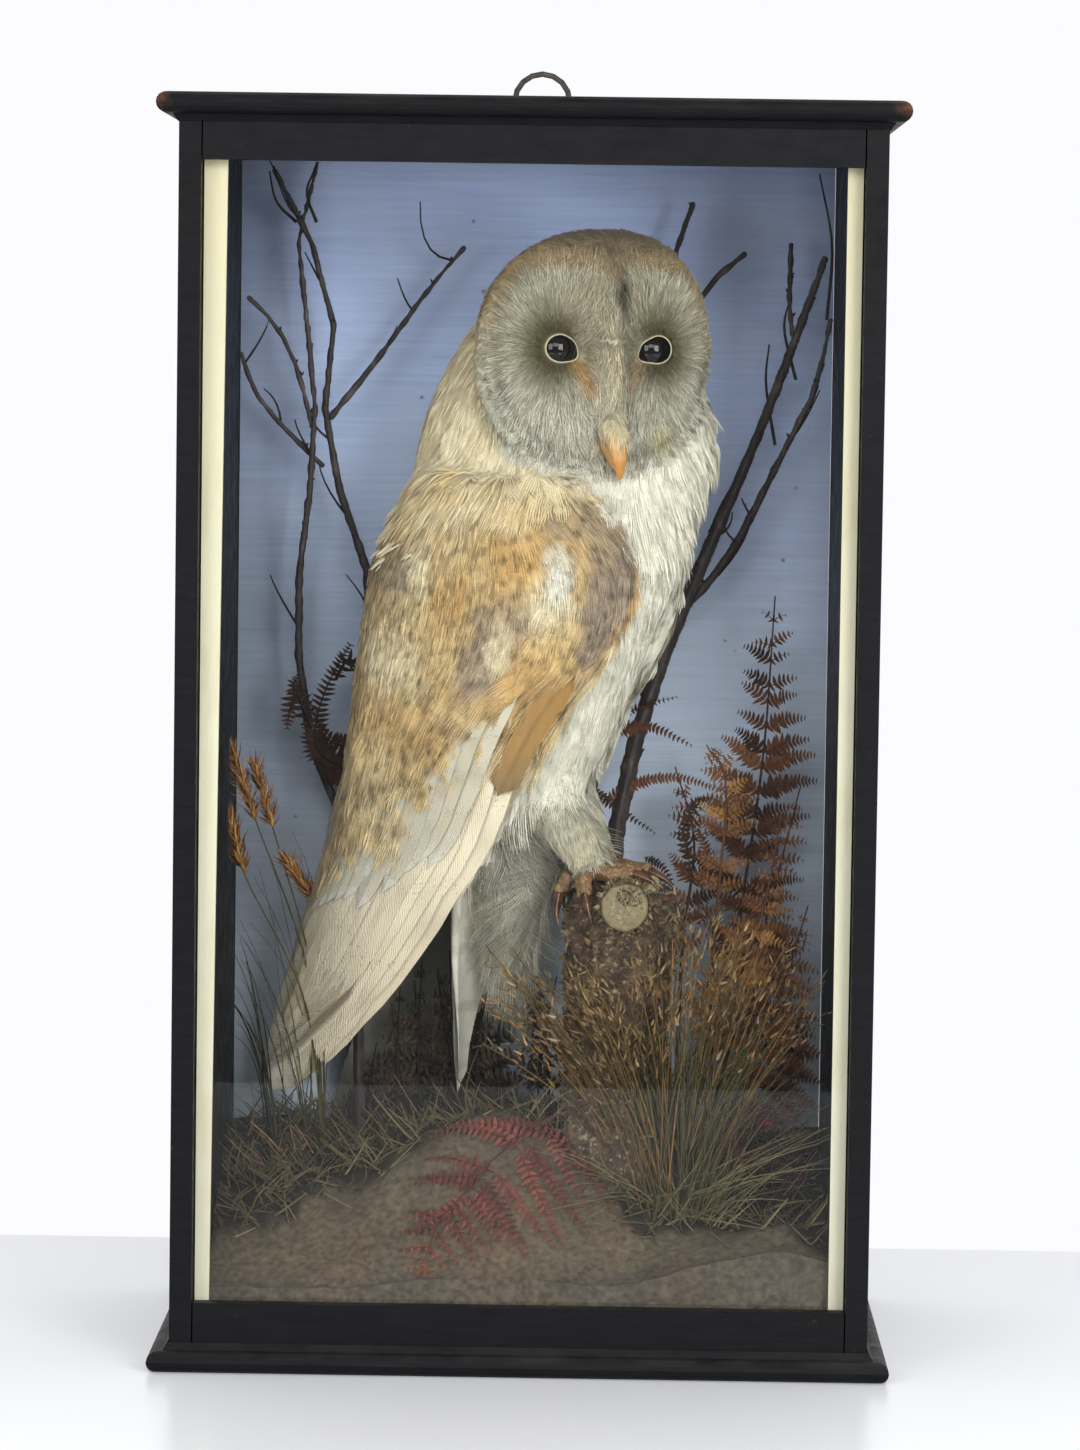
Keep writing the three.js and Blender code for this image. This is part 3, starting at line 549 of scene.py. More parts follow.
def aged_paper():
    """Cream paper slips, foxed and a little darker towards the bottom."""
    f = Finish("slip_paper", Roughness=0.85)
    low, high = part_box("case_slip_left")
    height = f.share("Z", low.z, high.z)
    cream = f.ramp(height, (0.0, srgb(188, 185, 164)), (0.5, srgb(200, 196, 172)), (1.0, srgb(196, 188, 156)))
    foxing = f.ramp(f.noise(70, 6, 0.7, stretch=(1, 1, 0.25)), (0.5, 0.0), (0.72, 0.5))
    cream = f.mix(foxing, cream, srgb(176, 164, 128))
    f.set(Base_Color=cream)
    f.bump(f.noise(300, 4), 0.0002, 0.5)
    return f


def dark_iron():
    f = Finish("iron", Metallic=0.8, Roughness=0.45)
    f.set(Base_Color=f.ramp(f.noise(260, 4), (0.35, srgb(34, 33, 33)), (0.7, srgb(70, 62, 56))))
    f.bump(f.noise(700, 3), 0.0002, 0.4)
    return f


def finish_case():
    wood = ebonised_wood()
    for member in ("plinth", "lid", "side_left", "side_right", "rail_top", "rail_bottom", "floor"):
        paint("case_" + member, wood)
    paint("case_back", painted_backboard())
    paint("case_glass", clear_glass())
    slip = aged_paper()
    paint("case_slip_left", slip)
    paint("case_slip_right", slip)
    paint("hanging_ring", dark_iron())


# ---- the owl's frames and tracts ----
HEAD_AT = spot(24, 63.5, 386)
HEAD_HEADING = math.radians(20)
BODY_HEADING = math.radians(65)
FORWARD = np.array((math.sin(BODY_HEADING), -math.cos(BODY_HEADING), 0))
RIGHTWARD = np.array((FORWARD[1], -FORWARD[0], 0))
DOWN = np.array((0, 0, -1.0))
EYE_RADIUS = 8.2
EYE_PLACE = np.array((19.4, -8.8, 1.0))  # the left eye in the head's frame, mm
EYE_SPLAY = math.radians(19)
FLESH = ("head", "neck", "trunk", "wing_left", "wing_right", "tail", "leg_left", "leg_right")


def in_case(points):
    """Millimetres across, back from the case's front and up."""
    return (np.asarray(points) - (0, FRONT, 0)) / MM


def in_head(points):
    """Millimetres in the head's frame: X to its left, Y to its back, Z up."""
    away = (np.asarray(points) - HEAD_AT) / MM
    cos, sin = math.cos(HEAD_HEADING), math.sin(HEAD_HEADING)
    return np.stack([away[..., 0] * cos + away[..., 1] * sin, away[..., 1] * cos - away[..., 0] * sin,
                     away[..., 2]], -1)


def from_head(points, origin=True):
    points = np.asarray(points, float)
    cos, sin = math.cos(HEAD_HEADING), math.sin(HEAD_HEADING)
    x, y, z = points[..., 0], points[..., 1], points[..., 2]
    turned = np.stack([x * cos - y * sin, x * sin + y * cos, z], -1)
    return turned * MM + np.array(HEAD_AT) if origin else turned


# The folded right wing: its leading and trailing edges from shoulder to tip, and how far it bulges.
WING_LEAD = [(14, 46, 346), (41, 34, 309), (36, 35, 276), (16, 41, 250), (-14, 60, 192), (-61, 99, 127),
             (-105, 134, 86)]
WING_TRAIL = [(-38, 103, 340), (-53, 110, 309), (-58, 112, 278), (-63, 113, 240), (-76, 113, 192),
              (-93, 122, 141), (-107, 137, 91)]
WING_BULGE = (24, 41, 42, 35, 19, 7, 1.5)
WING_STATIONS = 120
MIDLINE = np.array((0, 78, 0))
LEFT_TIP = np.array((34, 20, -10))
lead_line, lead_ahead = spline(WING_LEAD, WING_STATIONS)
trail_line, trail_ahead = spline(WING_TRAIL, WING_STATIONS)
bulge_line = np.interp(np.linspace(0, 1, WING_STATIONS), np.linspace(0, 1, len(WING_BULGE)), WING_BULGE)


def swapped_side(places, to_left):
    """The left wing's places as the right wing's, or back: mirrored, with the left tip further in."""
    z = places[..., 2:3]
    slide = (1 - ease(z, 86, 345)) ** 2.4 * LEFT_TIP
    start = places if to_left else places - slide
    off = 2 * ((start - MIDLINE) @ RIGHTWARD)[..., None]
    flipped = start - off * RIGHTWARD
    return flipped + slide if to_left else flipped


def wing_surface(along, across):
    """A place on the right wing's outer face, and the way out of it."""
    at = np.clip(along, 0, 1) * (WING_STATIONS - 1)
    k = np.minimum(at.astype(int), WING_STATIONS - 2)
    f = (at - k)[..., None]
    lead = lead_line[k] * (1 - f) + lead_line[k + 1] * f
    chord = trail_line[k] * (1 - f) + trail_line[k + 1] * f - lead
    bulge = bulge_line[k] * (1 - f[..., 0]) + bulge_line[k + 1] * f[..., 0]
    width = np.linalg.norm(chord, axis=-1)
    chord = chord / width[..., None]
    out = unit(np.stack([-chord[..., 1], chord[..., 0], np.zeros_like(width)], -1))
    out = np.where(out[..., 1:2] > 0, -out, out)
    arch = np.sqrt(np.maximum(0, 1 - np.abs(2 * across - 1) ** 3))
    near, far = np.clip(across - 0.05, 0.02, 0.98), np.clip(across + 0.05, 0.02, 0.98)
    rise = np.sqrt(1 - np.abs(2 * far - 1) ** 3) - np.sqrt(1 - np.abs(2 * near - 1) ** 3)
    slope = rise * bulge / (np.maximum(far - near, 1e-3) * width)
    normal = unit(out - slope[..., None] * chord)
    place = lead + chord * (across * width)[..., None] + out * (arch * bulge)[..., None]
    return place, normal


def wing_place(places):
    """How far along and across the right wing each place lies, and the lie of its feathers there."""
    best = np.full(len(places), np.inf)
    along, across = np.zeros(len(places)), np.zeros(len(places))
    for k in range(0, WING_STATIONS, 2):
        chord = trail_line[k] - lead_line[k]
        away = places - lead_line[k]
        share = np.clip((away[:, :2] @ chord[:2]) / (chord[:2] @ chord[:2]), 0, 1)
        off = np.linalg.norm(away - share[:, None] * chord, axis=1)
        gap = np.abs(away[:, 2] - share * chord[2]) + 0.1 * off
        closer = gap < best
        best[closer], across[closer], along[closer] = gap[closer], share[closer], k / (WING_STATIONS - 1)
    k = (along * (WING_STATIONS - 1)).astype(int)
    lie = lead_ahead[k] * (1 - across[:, None]) + trail_ahead[k] * across[:, None]
    return along, across, unit(lie)


# ---- plumage colours ----
SNOW = srgb(232, 231, 224)
PEARL = srgb(204, 202, 192)
ASH = srgb(178, 172, 152)
CREAM = srgb(238, 226, 196)
BUFF = srgb(219, 190, 138)
GOLD = srgb(208, 160, 92)
BAR_GOLD = srgb(152, 116, 64)
LILAC = srgb(158, 142, 130)
CROWN = srgb(108, 96, 80)
CROWN_EDGE = srgb(158, 132, 92)
OLIVE = srgb(102, 94, 64)
RUST = srgb(188, 130, 34)
NOTCH = srgb(36, 34, 26)
SMOKE = srgb(92, 90, 80)
STAIN = srgb(196, 190, 112)
UMBER = srgb(84, 62, 44)
QUILL = srgb(202, 190, 164)

WARMTH = np.array((0.93, 0.905, 0.8))  # old feathers under the lamps

# Patches on the right wing's face: middle across and up, half size, lean, colour and strength.
WING_PATCHES = [
    (-4, 310, 13, 11, 0.2, GOLD, 0.55),
    (-31, 291, 8, 13, 0.0, GOLD, 0.5),
    (-3, 262, 14, 11, -0.5, GOLD, 0.5),
    (-50, 243, 13, 12, -0.3, GOLD, 0.5),
    (40, 278, 4, 26, 0.1, GOLD, 0.8),
    (33, 302, 10, 21, 0.1, LILAC, 0.95),
    (27, 283, 9, 18, 0.2, LILAC, 0.9),
    (19, 322, 15, 9, 0.3, LILAC, 0.7),
    (-9, 286, 14, 10, 0.3, LILAC, 0.8),
    (-18, 266, 9, 18, 0.1, LILAC, 0.85),
    (-53, 301, 10, 11, 0.0, LILAC, 0.8),
    (-42, 305, 5, 12, 0.0, CREAM, 0.9),
    (-11, 273, 4.5, 12, 0.0, CREAM, 0.9),
    (-52, 268, 14, 15, -0.4, CREAM, 0.85),
    (8, 291, 9, 10, -0.2, CREAM, 1.0),
    (11.5, 301, 6, 15, 0.05, SNOW, 1.0),
]


def plain_colour(colour, count):
    return np.tile(colour, (count, 1))


def between(first, second, share):
    return np.array(first) + (np.array(second) - first) * share


def over(base, colour, amount):
    """base with colour laid over it, by an amount of 0 to 1 for each row."""
    return base + (np.asarray(colour) - base) * np.clip(amount, 0, 1)[:, None]


def disc_top(across):
    """Height of the facial disc's heart-shaped upper edge."""
    return 32.5 - 4 * bell(across - 1, 4) - 0.07 * np.maximum(np.abs(across) - 26, 0) ** 2


def eye_gap(h):
    """Distance across the face from the nearer eye, mm."""
    return np.hypot(np.abs(h[:, 0]) - EYE_PLACE[0], h[:, 2] - EYE_PLACE[2])


def disc_rim(h):
    """How far out from the disc's middle, 1 at the edge of the face."""
    return np.hypot(h[:, 0] / 49, h[:, 2] / np.where(h[:, 2] > 0, 49, 47))


def disc_share(h):
    """1 on the facial disc, 0 off it."""
    inside = ease(disc_top(h[:, 0]) - h[:, 2], -0.8, 0.8) * ease(0.93 - disc_rim(h), -0.015, 0.015)
    return inside * ease(-h[:, 1], -8, -2)


def near_line(across, up, start, end):
    """Distance from a stretch between two places of the face."""
    way = np.subtract(end, start)
    share = np.clip(((across - start[0]) * way[0] + (up - start[1]) * way[1]) / (way @ way), 0, 1)
    return np.hypot(across - start[0] - share * way[0], up - start[1] - share * way[1])


FACE_SHADE = 0.84  # the disc is darker than the breast


def crown_colour(h):
    """The head's colour outside the disc: white throat, buff nape and a grey-brown crown."""
    up, edge = h[:, 2], h[:, 2] - disc_top(h[:, 0])
    back = ease(h[:, 1], -6, 16)
    colour = over(plain_colour(CREAM, len(h)), SNOW, 1 - ease(up, -34, -8) * (0.35 + 0.65 * back))
    colour = over(colour, BUFF, ease(up, -14, 12) * 0.8)
    colour = over(colour, CROWN_EDGE, ease(up, 2, 24))
    colour = over(colour, CROWN, ease(up, 16, 38) * (1 - 0.8 * bell(edge - 2, 4)))
    return over(colour, SNOW, 0.9 * bell(disc_rim(h) - 0.98, 0.05) * (1 - ease(up, 4, 18)) * (1 - back))


def face_colour(h):
    """The disc's colour: olive round the eyes, a rusty streak below each, and a broken dark rim."""
    side, up = np.abs(h[:, 0]), h[:, 2]
    face = over(plain_colour(ASH, len(h)), PEARL, 0.8 * ease(-up, -4, 22))
    face = over(face, SNOW, 0.35 * bell(disc_rim(h) - 0.72, 0.14))
    face = over(face, CREAM, 0.5 * bell(side, 5) * ease(12 - up, 0, 10))
    inner = ease(EYE_PLACE[0] - side, 3, 10)
    outer = ease(side - EYE_PLACE[0], -6, 6)
    shade = bell(np.maximum(eye_gap(h) - 7, 0), 5.5 + 4 * outer) * (1 - 0.7 * inner)
    face = over(face, OLIVE, shade)
    ragged = 1 + 0.3 * np.sin(1.7 * up) * np.sin(2.3 * side)
    nearer = np.where(h[:, 0] < 0, 0.66, 0.4)  # the streak is weaker by the far eye
    face = over(face, RUST, nearer * bell(near_line(side, up, (12.5, -5), (8, -14.5)) * ragged, 2.6))
    face = over(face, OLIVE, 0.4 * bell(near_line(side, up, (9, 2), (8, -8)), 1.6))
    notch = bell(h[:, 0] - 4.8, 2.5) * bell(up - 21, 6.5)
    face = over(face, NOTCH, np.minimum(1, 1.7 * notch))
    broken = 0.65 + 0.35 * np.sin(h[:, 0] * 1.9) * np.sin(up * 1.4 + 1)
    face = over(face, NOTCH, broken * bell(disc_rim(h) - 0.893, 0.025) * ease(-up, -6, 12))
    face = over(face, SNOW, 0.8 * bell(disc_rim(h) - 0.94, 0.018) * ease(-up, -14, 4))
    face = over(face, SMOKE, 0.35 * bell(disc_rim(h) - 0.88, 0.03) * ease(up, -8, 6) * ease(-h[:, 0], 0, 14))
    return over(face, STAIN, 0.6 * bell(np.hypot(h[:, 0] - 22, up + 33), 5))


def head_colour(h):
    share = disc_share(h)[:, None]
    return crown_colour(h) * (1 - share) + face_colour(h) * share * FACE_SHADE


def mantle_colour(places, seed=3):
    """Golden buff clouded with grey, for the wings' coverts and the back."""
    cloud = lumps(places, 26, seed)
    fine = lumps(places, 11, seed + 1)
    colour = over(plain_colour(BUFF, len(places)), GOLD, 0.25 + 0.3 * fine)
    colour = over(colour, CREAM, ease(-cloud, 0.1, 0.7) * 0.6)
    return over(colour, LILAC, ease(cloud + 0.4 * fine, 0.25, 0.8) * 0.7)


WING_SHADE = 0.92


def wing_colour(places):
    """Colour of the right wing's outer face, from places in the case in mm."""
    x, z = places[:, 0], places[:, 2]
    calm = np.clip(1.5 - 0.02 * (places[:, 1] - 60), 0.4, 1)
    colour = over(mantle_colour(places), BUFF, 0.6 * calm)
    for px, pz, half, tall, lean, patch, strength in WING_PATCHES:
        dx, dz = x - px - lean * (z - pz), z - pz
        ragged = 1 + 0.22 * lumps(places, 9, 11)
        far = np.hypot(dx / half, dz / tall) * ragged
        colour = over(colour, patch, strength * (1 - ease(far, 0.55, 1.25)))
    below = 244 + 0.656 * (x - 27) + 6 * lumps(places, 16, 5) - z  # under the coverts' ragged edge
    colour = over(colour, CREAM, 0.85 * ease(below, -16, 0))
    colour = over(colour, QUILL, ease(below, -2, 8) * 0.92)
    colour = over(colour, CREAM, 0.92 * ease(z - 16 * ease(x, -10, 20) + 5 * lumps(places, 12, 6), 312, 328))
    colour = over(colour, CREAM, 0.5 * bell(np.hypot((x + 62) / 12, (z - 212) / 24), 1))
    colour = over(colour, BUFF, 0.5 * bell(np.hypot((x + 60) / 10, (z - 190) / 12), 1))
    return over(colour, CREAM, 0.5 * ease(-z, -150, -90)) * WING_SHADE


def facing_out(normals, left):
    """How far each normal points to a wing's outer side, or for the near wing also to the viewer."""
    if left:
        return -(normals @ RIGHTWARD)
    return np.maximum(normals @ RIGHTWARD, -normals[:, 1])


def far_shade(places):
    """Painted shade: the left wing darkens downwards."""
    return 1 - 0.76 * ease(-places[:, 2:3], -215, -165)


def wing_side_colour(places, normals, left):
    """A wing's colour: marked on its outer side and white inside, the left wing darkened downwards by painted
    shade.
    """
    own = swapped_side(places, False) if left else places
    facing = facing_out(normals, left)
    shown = (ease(facing, 0.45, 0.8) if left else ease(facing, -0.5, -0.2))[:, None]
    colour = SNOW * (1 - shown) + wing_colour(own) * shown
    return colour * far_shade(places) if left else colour


def body_colour(places, normals):
    """White in front, darkened below by painted shade, and a buff mantle behind."""
    z = places[:, 2]
    back = ease(-(normals @ FORWARD), 0.25, 0.75)
    # painted shade: the lower body greys downwards
    colour = over(plain_colour(SNOW, len(places)), ASH, 0.75 * ease(-z, -225, -165))
    buffed = ease(-(normals @ FORWARD), -0.45, 0.3) * ease(z, 250, 300)
    colour = over(colour, CREAM, 0.85 * buffed)
    mantle = over(mantle_colour(places), CREAM, 0.95 * ease(z, 318, 338))
    return over(colour, mantle, back * ease(z, 175, 235))


def plumage(points, normals, tract):
    """The coat's colour at places on the skin, each in its tract."""
    places = in_case(points)
    colour = body_colour(places, normals)
    head = tract == FLESH.index("head")
    if head.any():
        colour[head] = head_colour(in_head(points[head]))
    for name, left in (("wing_right", False), ("wing_left", True)):
        held = tract == FLESH.index(name)
        if not held.any():
            continue
        colour[held] = wing_side_colour(places[held], normals[held], left)
    for name in ("leg_left", "leg_right"):
        held = tract == FLESH.index(name)
        # painted shade: the legs' pale feathers under the body are darkened to 0.72
        creamy = 0.25 + 0.25 * lumps(places[held], 8, 9)
        colour[held] = over(plain_colour(PEARL, held.sum()), CREAM, creamy) * 0.72
    held = tract == FLESH.index("tail")
    bars = ease(np.sin(places[held, 2] * 2 * math.pi / 24), 0.75, 0.95)
    colour[held] = over(plain_colour(SNOW, held.sum()), LILAC, 0.35 * bars)
    return colour * WARMTH


# ---- the skin under the coat ----
SKIN_SWELL = 0.9 * MM  # closes the cuts between the solids before they are made one
SKIN_VOXEL = 1.7 * MM
SKIN_FLOOR = 0.36  # of its thickness, the most that a thin part is drawn in
COAT_DEPTH = {"head": 2.6, "neck": 4.2, "trunk": 4.4, "wing_left": 1.2, "wing_right": 1.2, "tail": 0.8,
              "leg_left": 2.2, "leg_right": 2.2}  # mm
FACE_DEPTH = 0.9
TRUNK_YIELDS = 1.2  # mm; close to a wing, the skin's places are the wing's
TRACT_BLEND = 1.5  # mm over which one tract's depth runs into the next
SKIN_SHADE = 0.8  # painted shade: the skin is darker than the feathers over it, for the shade deep in the coat
TAIL_ROOT, TAIL_TIP = np.array((-26.0, 100, 204)), np.array((-26.0, 109, 90))


def distances(points):
    """How far each point is from each node of flesh, in mm, by point and node."""
    near = []
    for node in FLESH:
        tree = BVHTree.FromPolygons(*[part.tolist() for part in node_mesh(node)])
        near.append([tree.find_nearest(Vector(p))[3] for p in points])
    near = np.array(near).T / MM
    near[:, FLESH.index("trunk")] += TRUNK_YIELDS
    return near


def thickness(points, normals, faces):
    """How far through the flesh it is behind each point, in metres."""
    tree = BVHTree.FromPolygons(points.tolist(), faces.tolist())
    thick = np.empty(len(points))
    for k, (p, n) in enumerate(zip(points, normals)):
        found = tree.ray_cast(Vector(p - n * 0.05 * MM), Vector(-n))
        thick[k] = found[3] if found[0] else 1.0
    return thick


class Skin:
    """One surface for the whole bird, with what the coat needs to know at each of its places."""

    def __init__(self, finish):
        swollen = joined([node_mesh(node, SKIN_SWELL) for node in FLESH])
        self.obj = mesh_object("owl_skin", *swollen, finish)
        remesh = ("REMESH", {"mode": "VOXEL", "voxel_size": SKIN_VOXEL})
        with_modifiers(self.obj, remesh, ("SMOOTH", {"factor": 0.5, "iterations": 6}), ("TRIANGULATE", {}))
        mesh = self.obj.data
        points, normals = vertex_array(mesh), vertex_array(mesh, "normal")
        self.faces = np.array([p.vertices[:] for p in mesh.polygons])
        near = distances(points)
        self.tract = near.argmin(1)
        disc = (self.tract == FLESH.index("neck")) & (disc_share(in_head(points)) > 0.5)
        self.tract[disc] = FLESH.index("head")
        share = np.exp(-np.maximum(near - near.min(1, keepdims=True), 0) / TRACT_BLEND)
        share /= share.sum(1, keepdims=True)
        points = self.drawn_in(points, normals, share)
        points = self.narrowed(points, share[:, FLESH.index("tail")])
        mesh.vertices.foreach_set("co", points.astype(np.float32).ravel())
        mesh.update()
        mesh.shade_smooth()
        self.points, self.normals = points, vertex_array(mesh, "normal")
        self.tree = BVHTree.FromPolygons(points.tolist(), self.faces.tolist())
        self.unwrap()
        corner = points[self.faces]
        sweep = np.cross(corner[:, 1] - corner[:, 0], corner[:, 2] - corner[:, 0])
        self.area = np.linalg.norm(sweep, axis=1) / 2
        self.face_tract = self.tract[self.faces[:, 0]]
        set_tint(self.obj, plumage(points, self.normals, self.tract) * SKIN_SHADE)

    def drawn_in(self, points, normals, share):
        """The surface moved in by the coat's depth, and evened."""
        depth = share @ np.array([COAT_DEPTH[node] for node in FLESH])
        face = depth + (FACE_DEPTH - depth) * disc_share(in_head(points))
        depth = np.where(share[:, 0] > 0.5, face, depth)
        thick = thickness(points, normals, self.faces)
        inward = np.minimum(depth * MM + SKIN_SWELL, SKIN_FLOOR * thick)
        edges = np.vstack([self.faces[:, [0, 1]], self.faces[:, [1, 2]], self.faces[:, [2, 0]]])
        degree = np.bincount(edges.ravel(), minlength=len(points))

        def evened(values):
            total = np.zeros_like(values)
            np.add.at(total, edges[:, 0], values[edges[:, 1]])
            np.add.at(total, edges[:, 1], values[edges[:, 0]])
            return total / (degree[:, None] if values.ndim > 1 else degree)

        for _ in range(4):
            inward = np.minimum(inward, 0.5 * inward + 0.5 * evened(inward))
        points = points - normals * inward[:, None]
        for _ in range(2):
            points = 0.5 * points + 0.5 * evened(points)
        return points

    @staticmethod
    def narrowed(points, share):
        """The tail's end drawn in to a point inside its solid, and raised a little."""
        places = in_case(points)
        middle = TAIL_ROOT + (TAIL_TIP - TAIL_ROOT) * ((TAIL_ROOT[2] - places[:, 2:3])
                                                       / (TAIL_ROOT[2] - TAIL_TIP[2]))
        low = share * ease(-places[:, 2], -165, -90)
        drawn = middle + (places - middle) * (1 - 0.8 * low)[:, None]
        drawn[:, 2] = places[:, 2] + 7 * low
        return drawn * MM + (0, FRONT, 0)

    def unwrap(self):
        bpy.context.view_layer.objects.active = self.obj
        self.obj.select_set(True)
        self.obj.data.uv_layers.new(name="OFBake")
        bpy.ops.object.mode_set(mode="EDIT")
        bpy.ops.mesh.select_all(action="SELECT")
        bpy.ops.uv.smart_project(angle_limit=math.radians(66), island_margin=0.004)
        bpy.ops.object.mode_set(mode="OBJECT")
        self.obj.select_set(False)
        flat = np.empty(len(self.obj.data.loops) * 2, np.float32)
        self.obj.data.uv_layers["OFBake"].data.foreach_get("uv", flat)
        self.uv = flat.reshape(-1, 3, 2)

    def scatter(self, wanted, spacing, seed):
        """Roots about spacing mm apart on the faces wanted: places, normals, map places and tracts."""
        draw = np.random.default_rng(seed)
        faces = np.flatnonzero(wanted)
        area = self.area[faces]
        tries = int(area.sum() / (spacing * MM) ** 2 * 5)
        face = faces[draw.choice(len(faces), tries, p=area / area.sum())]
        a, b = draw.random(tries), draw.random(tries)
        flip = a + b > 1
        a[flip], b[flip] = 1 - a[flip], 1 - b[flip]
        weight = np.stack([1 - a - b, a, b], 1)
        places = np.einsum("nk,nkc->nc", weight, self.points[self.faces[face]])
        cell = np.floor(places / (spacing * MM)).astype(np.int64)
        key = (cell[:, 0] * 100003 + cell[:, 1]) * 100003 + cell[:, 2]
        first = np.unique(key, return_index=True)[1]
        first = first[draw.permutation(len(first))]
        face, weight, places = face[first], weight[first], places[first]
        normals = unit(np.einsum("nk,nkc->nc", weight, self.normals[self.faces[face]]))
        uv = np.einsum("nk,nkc->nc", weight, self.uv[face])
        return {"at": places, "normal": normals, "uv": uv, "tract": self.face_tract[face]}


def root_colour(roots):
    return plumage(roots["at"], roots["normal"], roots["tract"])


def one_way(way, count):
    return np.tile(unit(np.array(way)), (count, 1))


def map_places(skin, points):
    """Where each point's nearest face of the skin lies on the skin's map."""
    return np.array([skin.uv[skin.tree.find_nearest(Vector(p))[2]].mean(0) for p in points])


def chosen(roots, keep):
    return {key: value[keep] for key, value in roots.items()}


# ---- growing the coat ----
PATCH = 0.003  # of the unwrap, each tuft's own width on it
ROOT_SHARE = 0.3  # of its root's colour in a feather that is painted by place
PIECE_LIMIT = 190000  # triangles in one piece of the coat


def follow(skin, roots, lie, length, steps, hug):
    """Each tuft's middle line along the skin, and the way out of the skin beneath it."""
    spine = np.empty((len(lie), steps + 1, 3))
    out = np.empty_like(spine)
    spine[:, 0], out[:, 0] = roots["at"], roots["normal"]
    for n in range(len(lie)):
        at, facing, ahead = Vector(roots["at"][n]), Vector(roots["normal"][n]), Vector(lie[n])
        stride = length[n] / steps
        for s in range(1, steps + 1):
            ahead = (ahead - facing * ahead.dot(facing)).normalized()
            guess = at + ahead * stride
            place, normal, _, gap = skin.tree.find_nearest(guess)
            if gap < 0.7 * stride and normal.dot(facing) > 0.2:
                at = guess.lerp(place, hug)
                facing = facing.lerp(normal, 0.6).normalized()
            else:
                at = guess
            spine[n, s], out[n, s] = at, facing
    return spine, out


def tuft_grid(draw, count, style):
    """How far across (-1 to 1) each strip stands in its tuft, and how far along it each step reaches."""
    strips, steps = style["strips"], style["steps"]
    k = np.linspace(-1, 1, strips)
    reach = 1 - style.get("round", 0.35) * k**2
    reach = reach[None] * draw.uniform(0.86, 1.06, (count, strips))
    return k, np.clip(reach[..., None] * np.linspace(0, 1, steps + 1), 0, 1)


def tuft_points(draw, style, size, spine, out, k, s):
    """Both edges of every strip: by tuft, strip, step and edge."""
    count, strips, steps = len(size), style["strips"], style["steps"]
    ahead = unit(np.gradient(spine, axis=1))
    across = np.cross(out, ahead)
    t = np.linspace(0, 1, steps + 1)
    low = np.minimum((s * steps).astype(int), steps - 1)
    part = (s * steps - low)[..., None]
    row = np.arange(count)[:, None, None]

    def along(line):
        return line[row, low] * (1 - part) + line[row, low + 1] * part

    middle, side, up = along(spine), along(across), along(out)
    size = size[:, None, None]
    bow = 0.3 + 0.7 * np.sin(math.pi * np.clip(s, 0, 1) ** 0.8 * 0.72)
    wide = style["width"] * MM / 2 * size * bow * k[None, :, None]
    lift = style["lift"] * MM * size * s**1.4 * draw.uniform(0.6, 1.25, count)[:, None, None]
    lift = lift + draw.uniform(0, 0.25, (count, strips, 1)) * MM
    lift = lift - style.get("cup", 0.4) * MM * (k**2)[None, :, None] * s
    place = middle + side * wide[..., None] + up * (lift + 0.12 * MM)[..., None]
    taper = (1 - 0.85 * t**2.2)[None, None] * (0.45 + 0.55 * ease(t, 0, 0.3))
    half = style["hair"] * MM * size**0.5 * taper
    tilt = draw.normal(0, style.get("tilt", 0.35), (count, strips, 1))[..., None]
    edge = (side * np.cos(tilt) + up * np.sin(tilt)) * np.broadcast_to(half, s.shape)[..., None]
    return np.stack([place - edge, place + edge], 3)


def tuft_colours(draw, style, roots, colour, paint, points, k, s):
    """A colour for every point: its root's, or mostly its own place's, darker near the root as painted shade
    in the coat.
    """
    count, strips = s.shape[:2]
    shade = colour[:, None, None, None, :]
    if paint:
        normals = np.repeat(roots["normal"], points[0].size // 3, axis=0)
        held = paint(points.reshape(-1, 3), normals).reshape(points.shape)
        shade = ROOT_SHARE * shade + (1 - ROOT_SHARE) * held
    shade = shade * draw.uniform(*style.get("vary", (0.9, 1.05)), (count, strips, 1, 1, 1))
    # painted shade: each strip is darker towards its root, deep in the coat
    deep = style.get("deep", 0.72)
    shade = shade * (deep + (1 - deep) * ease(s, 0, 0.55))[..., None, None]
    if "spots" in roots:
        dark = (roots["spots"][:, None] * bell(k, 0.4)[None])[..., None] * bell(s - 0.84, 0.13)
        shade = shade * (1 - 0.9 * dark)[..., None, None]
    return np.broadcast_to(shade, points.shape)


def coat_pieces(name, finish, points, shade, uv):
    """The tufts as pieces that each stay under the limit of triangles."""
    count, strips, rows = points.shape[:3]
    quads = grid_quads(np.arange(count * strips * rows * 2).reshape(count, strips, rows, 2))
    quads = quads.reshape(count, -1, 4)
    each = max(1, PIECE_LIMIT // (quads.shape[1] * 2))
    for number, start in enumerate(range(0, count, each)):
        held = slice(start, min(start + each, count))
        own = quads[held].reshape(-1, 4)
        own = own - own.min()
        obj = mesh_object(f"{name}_{number + 1}", points[held], own, finish)
        set_tint(obj, shade[held])
        flat = uv[held].reshape(-1, 2)[own.ravel()]
        set_map(obj, flat)
        piece(obj, "plumage")


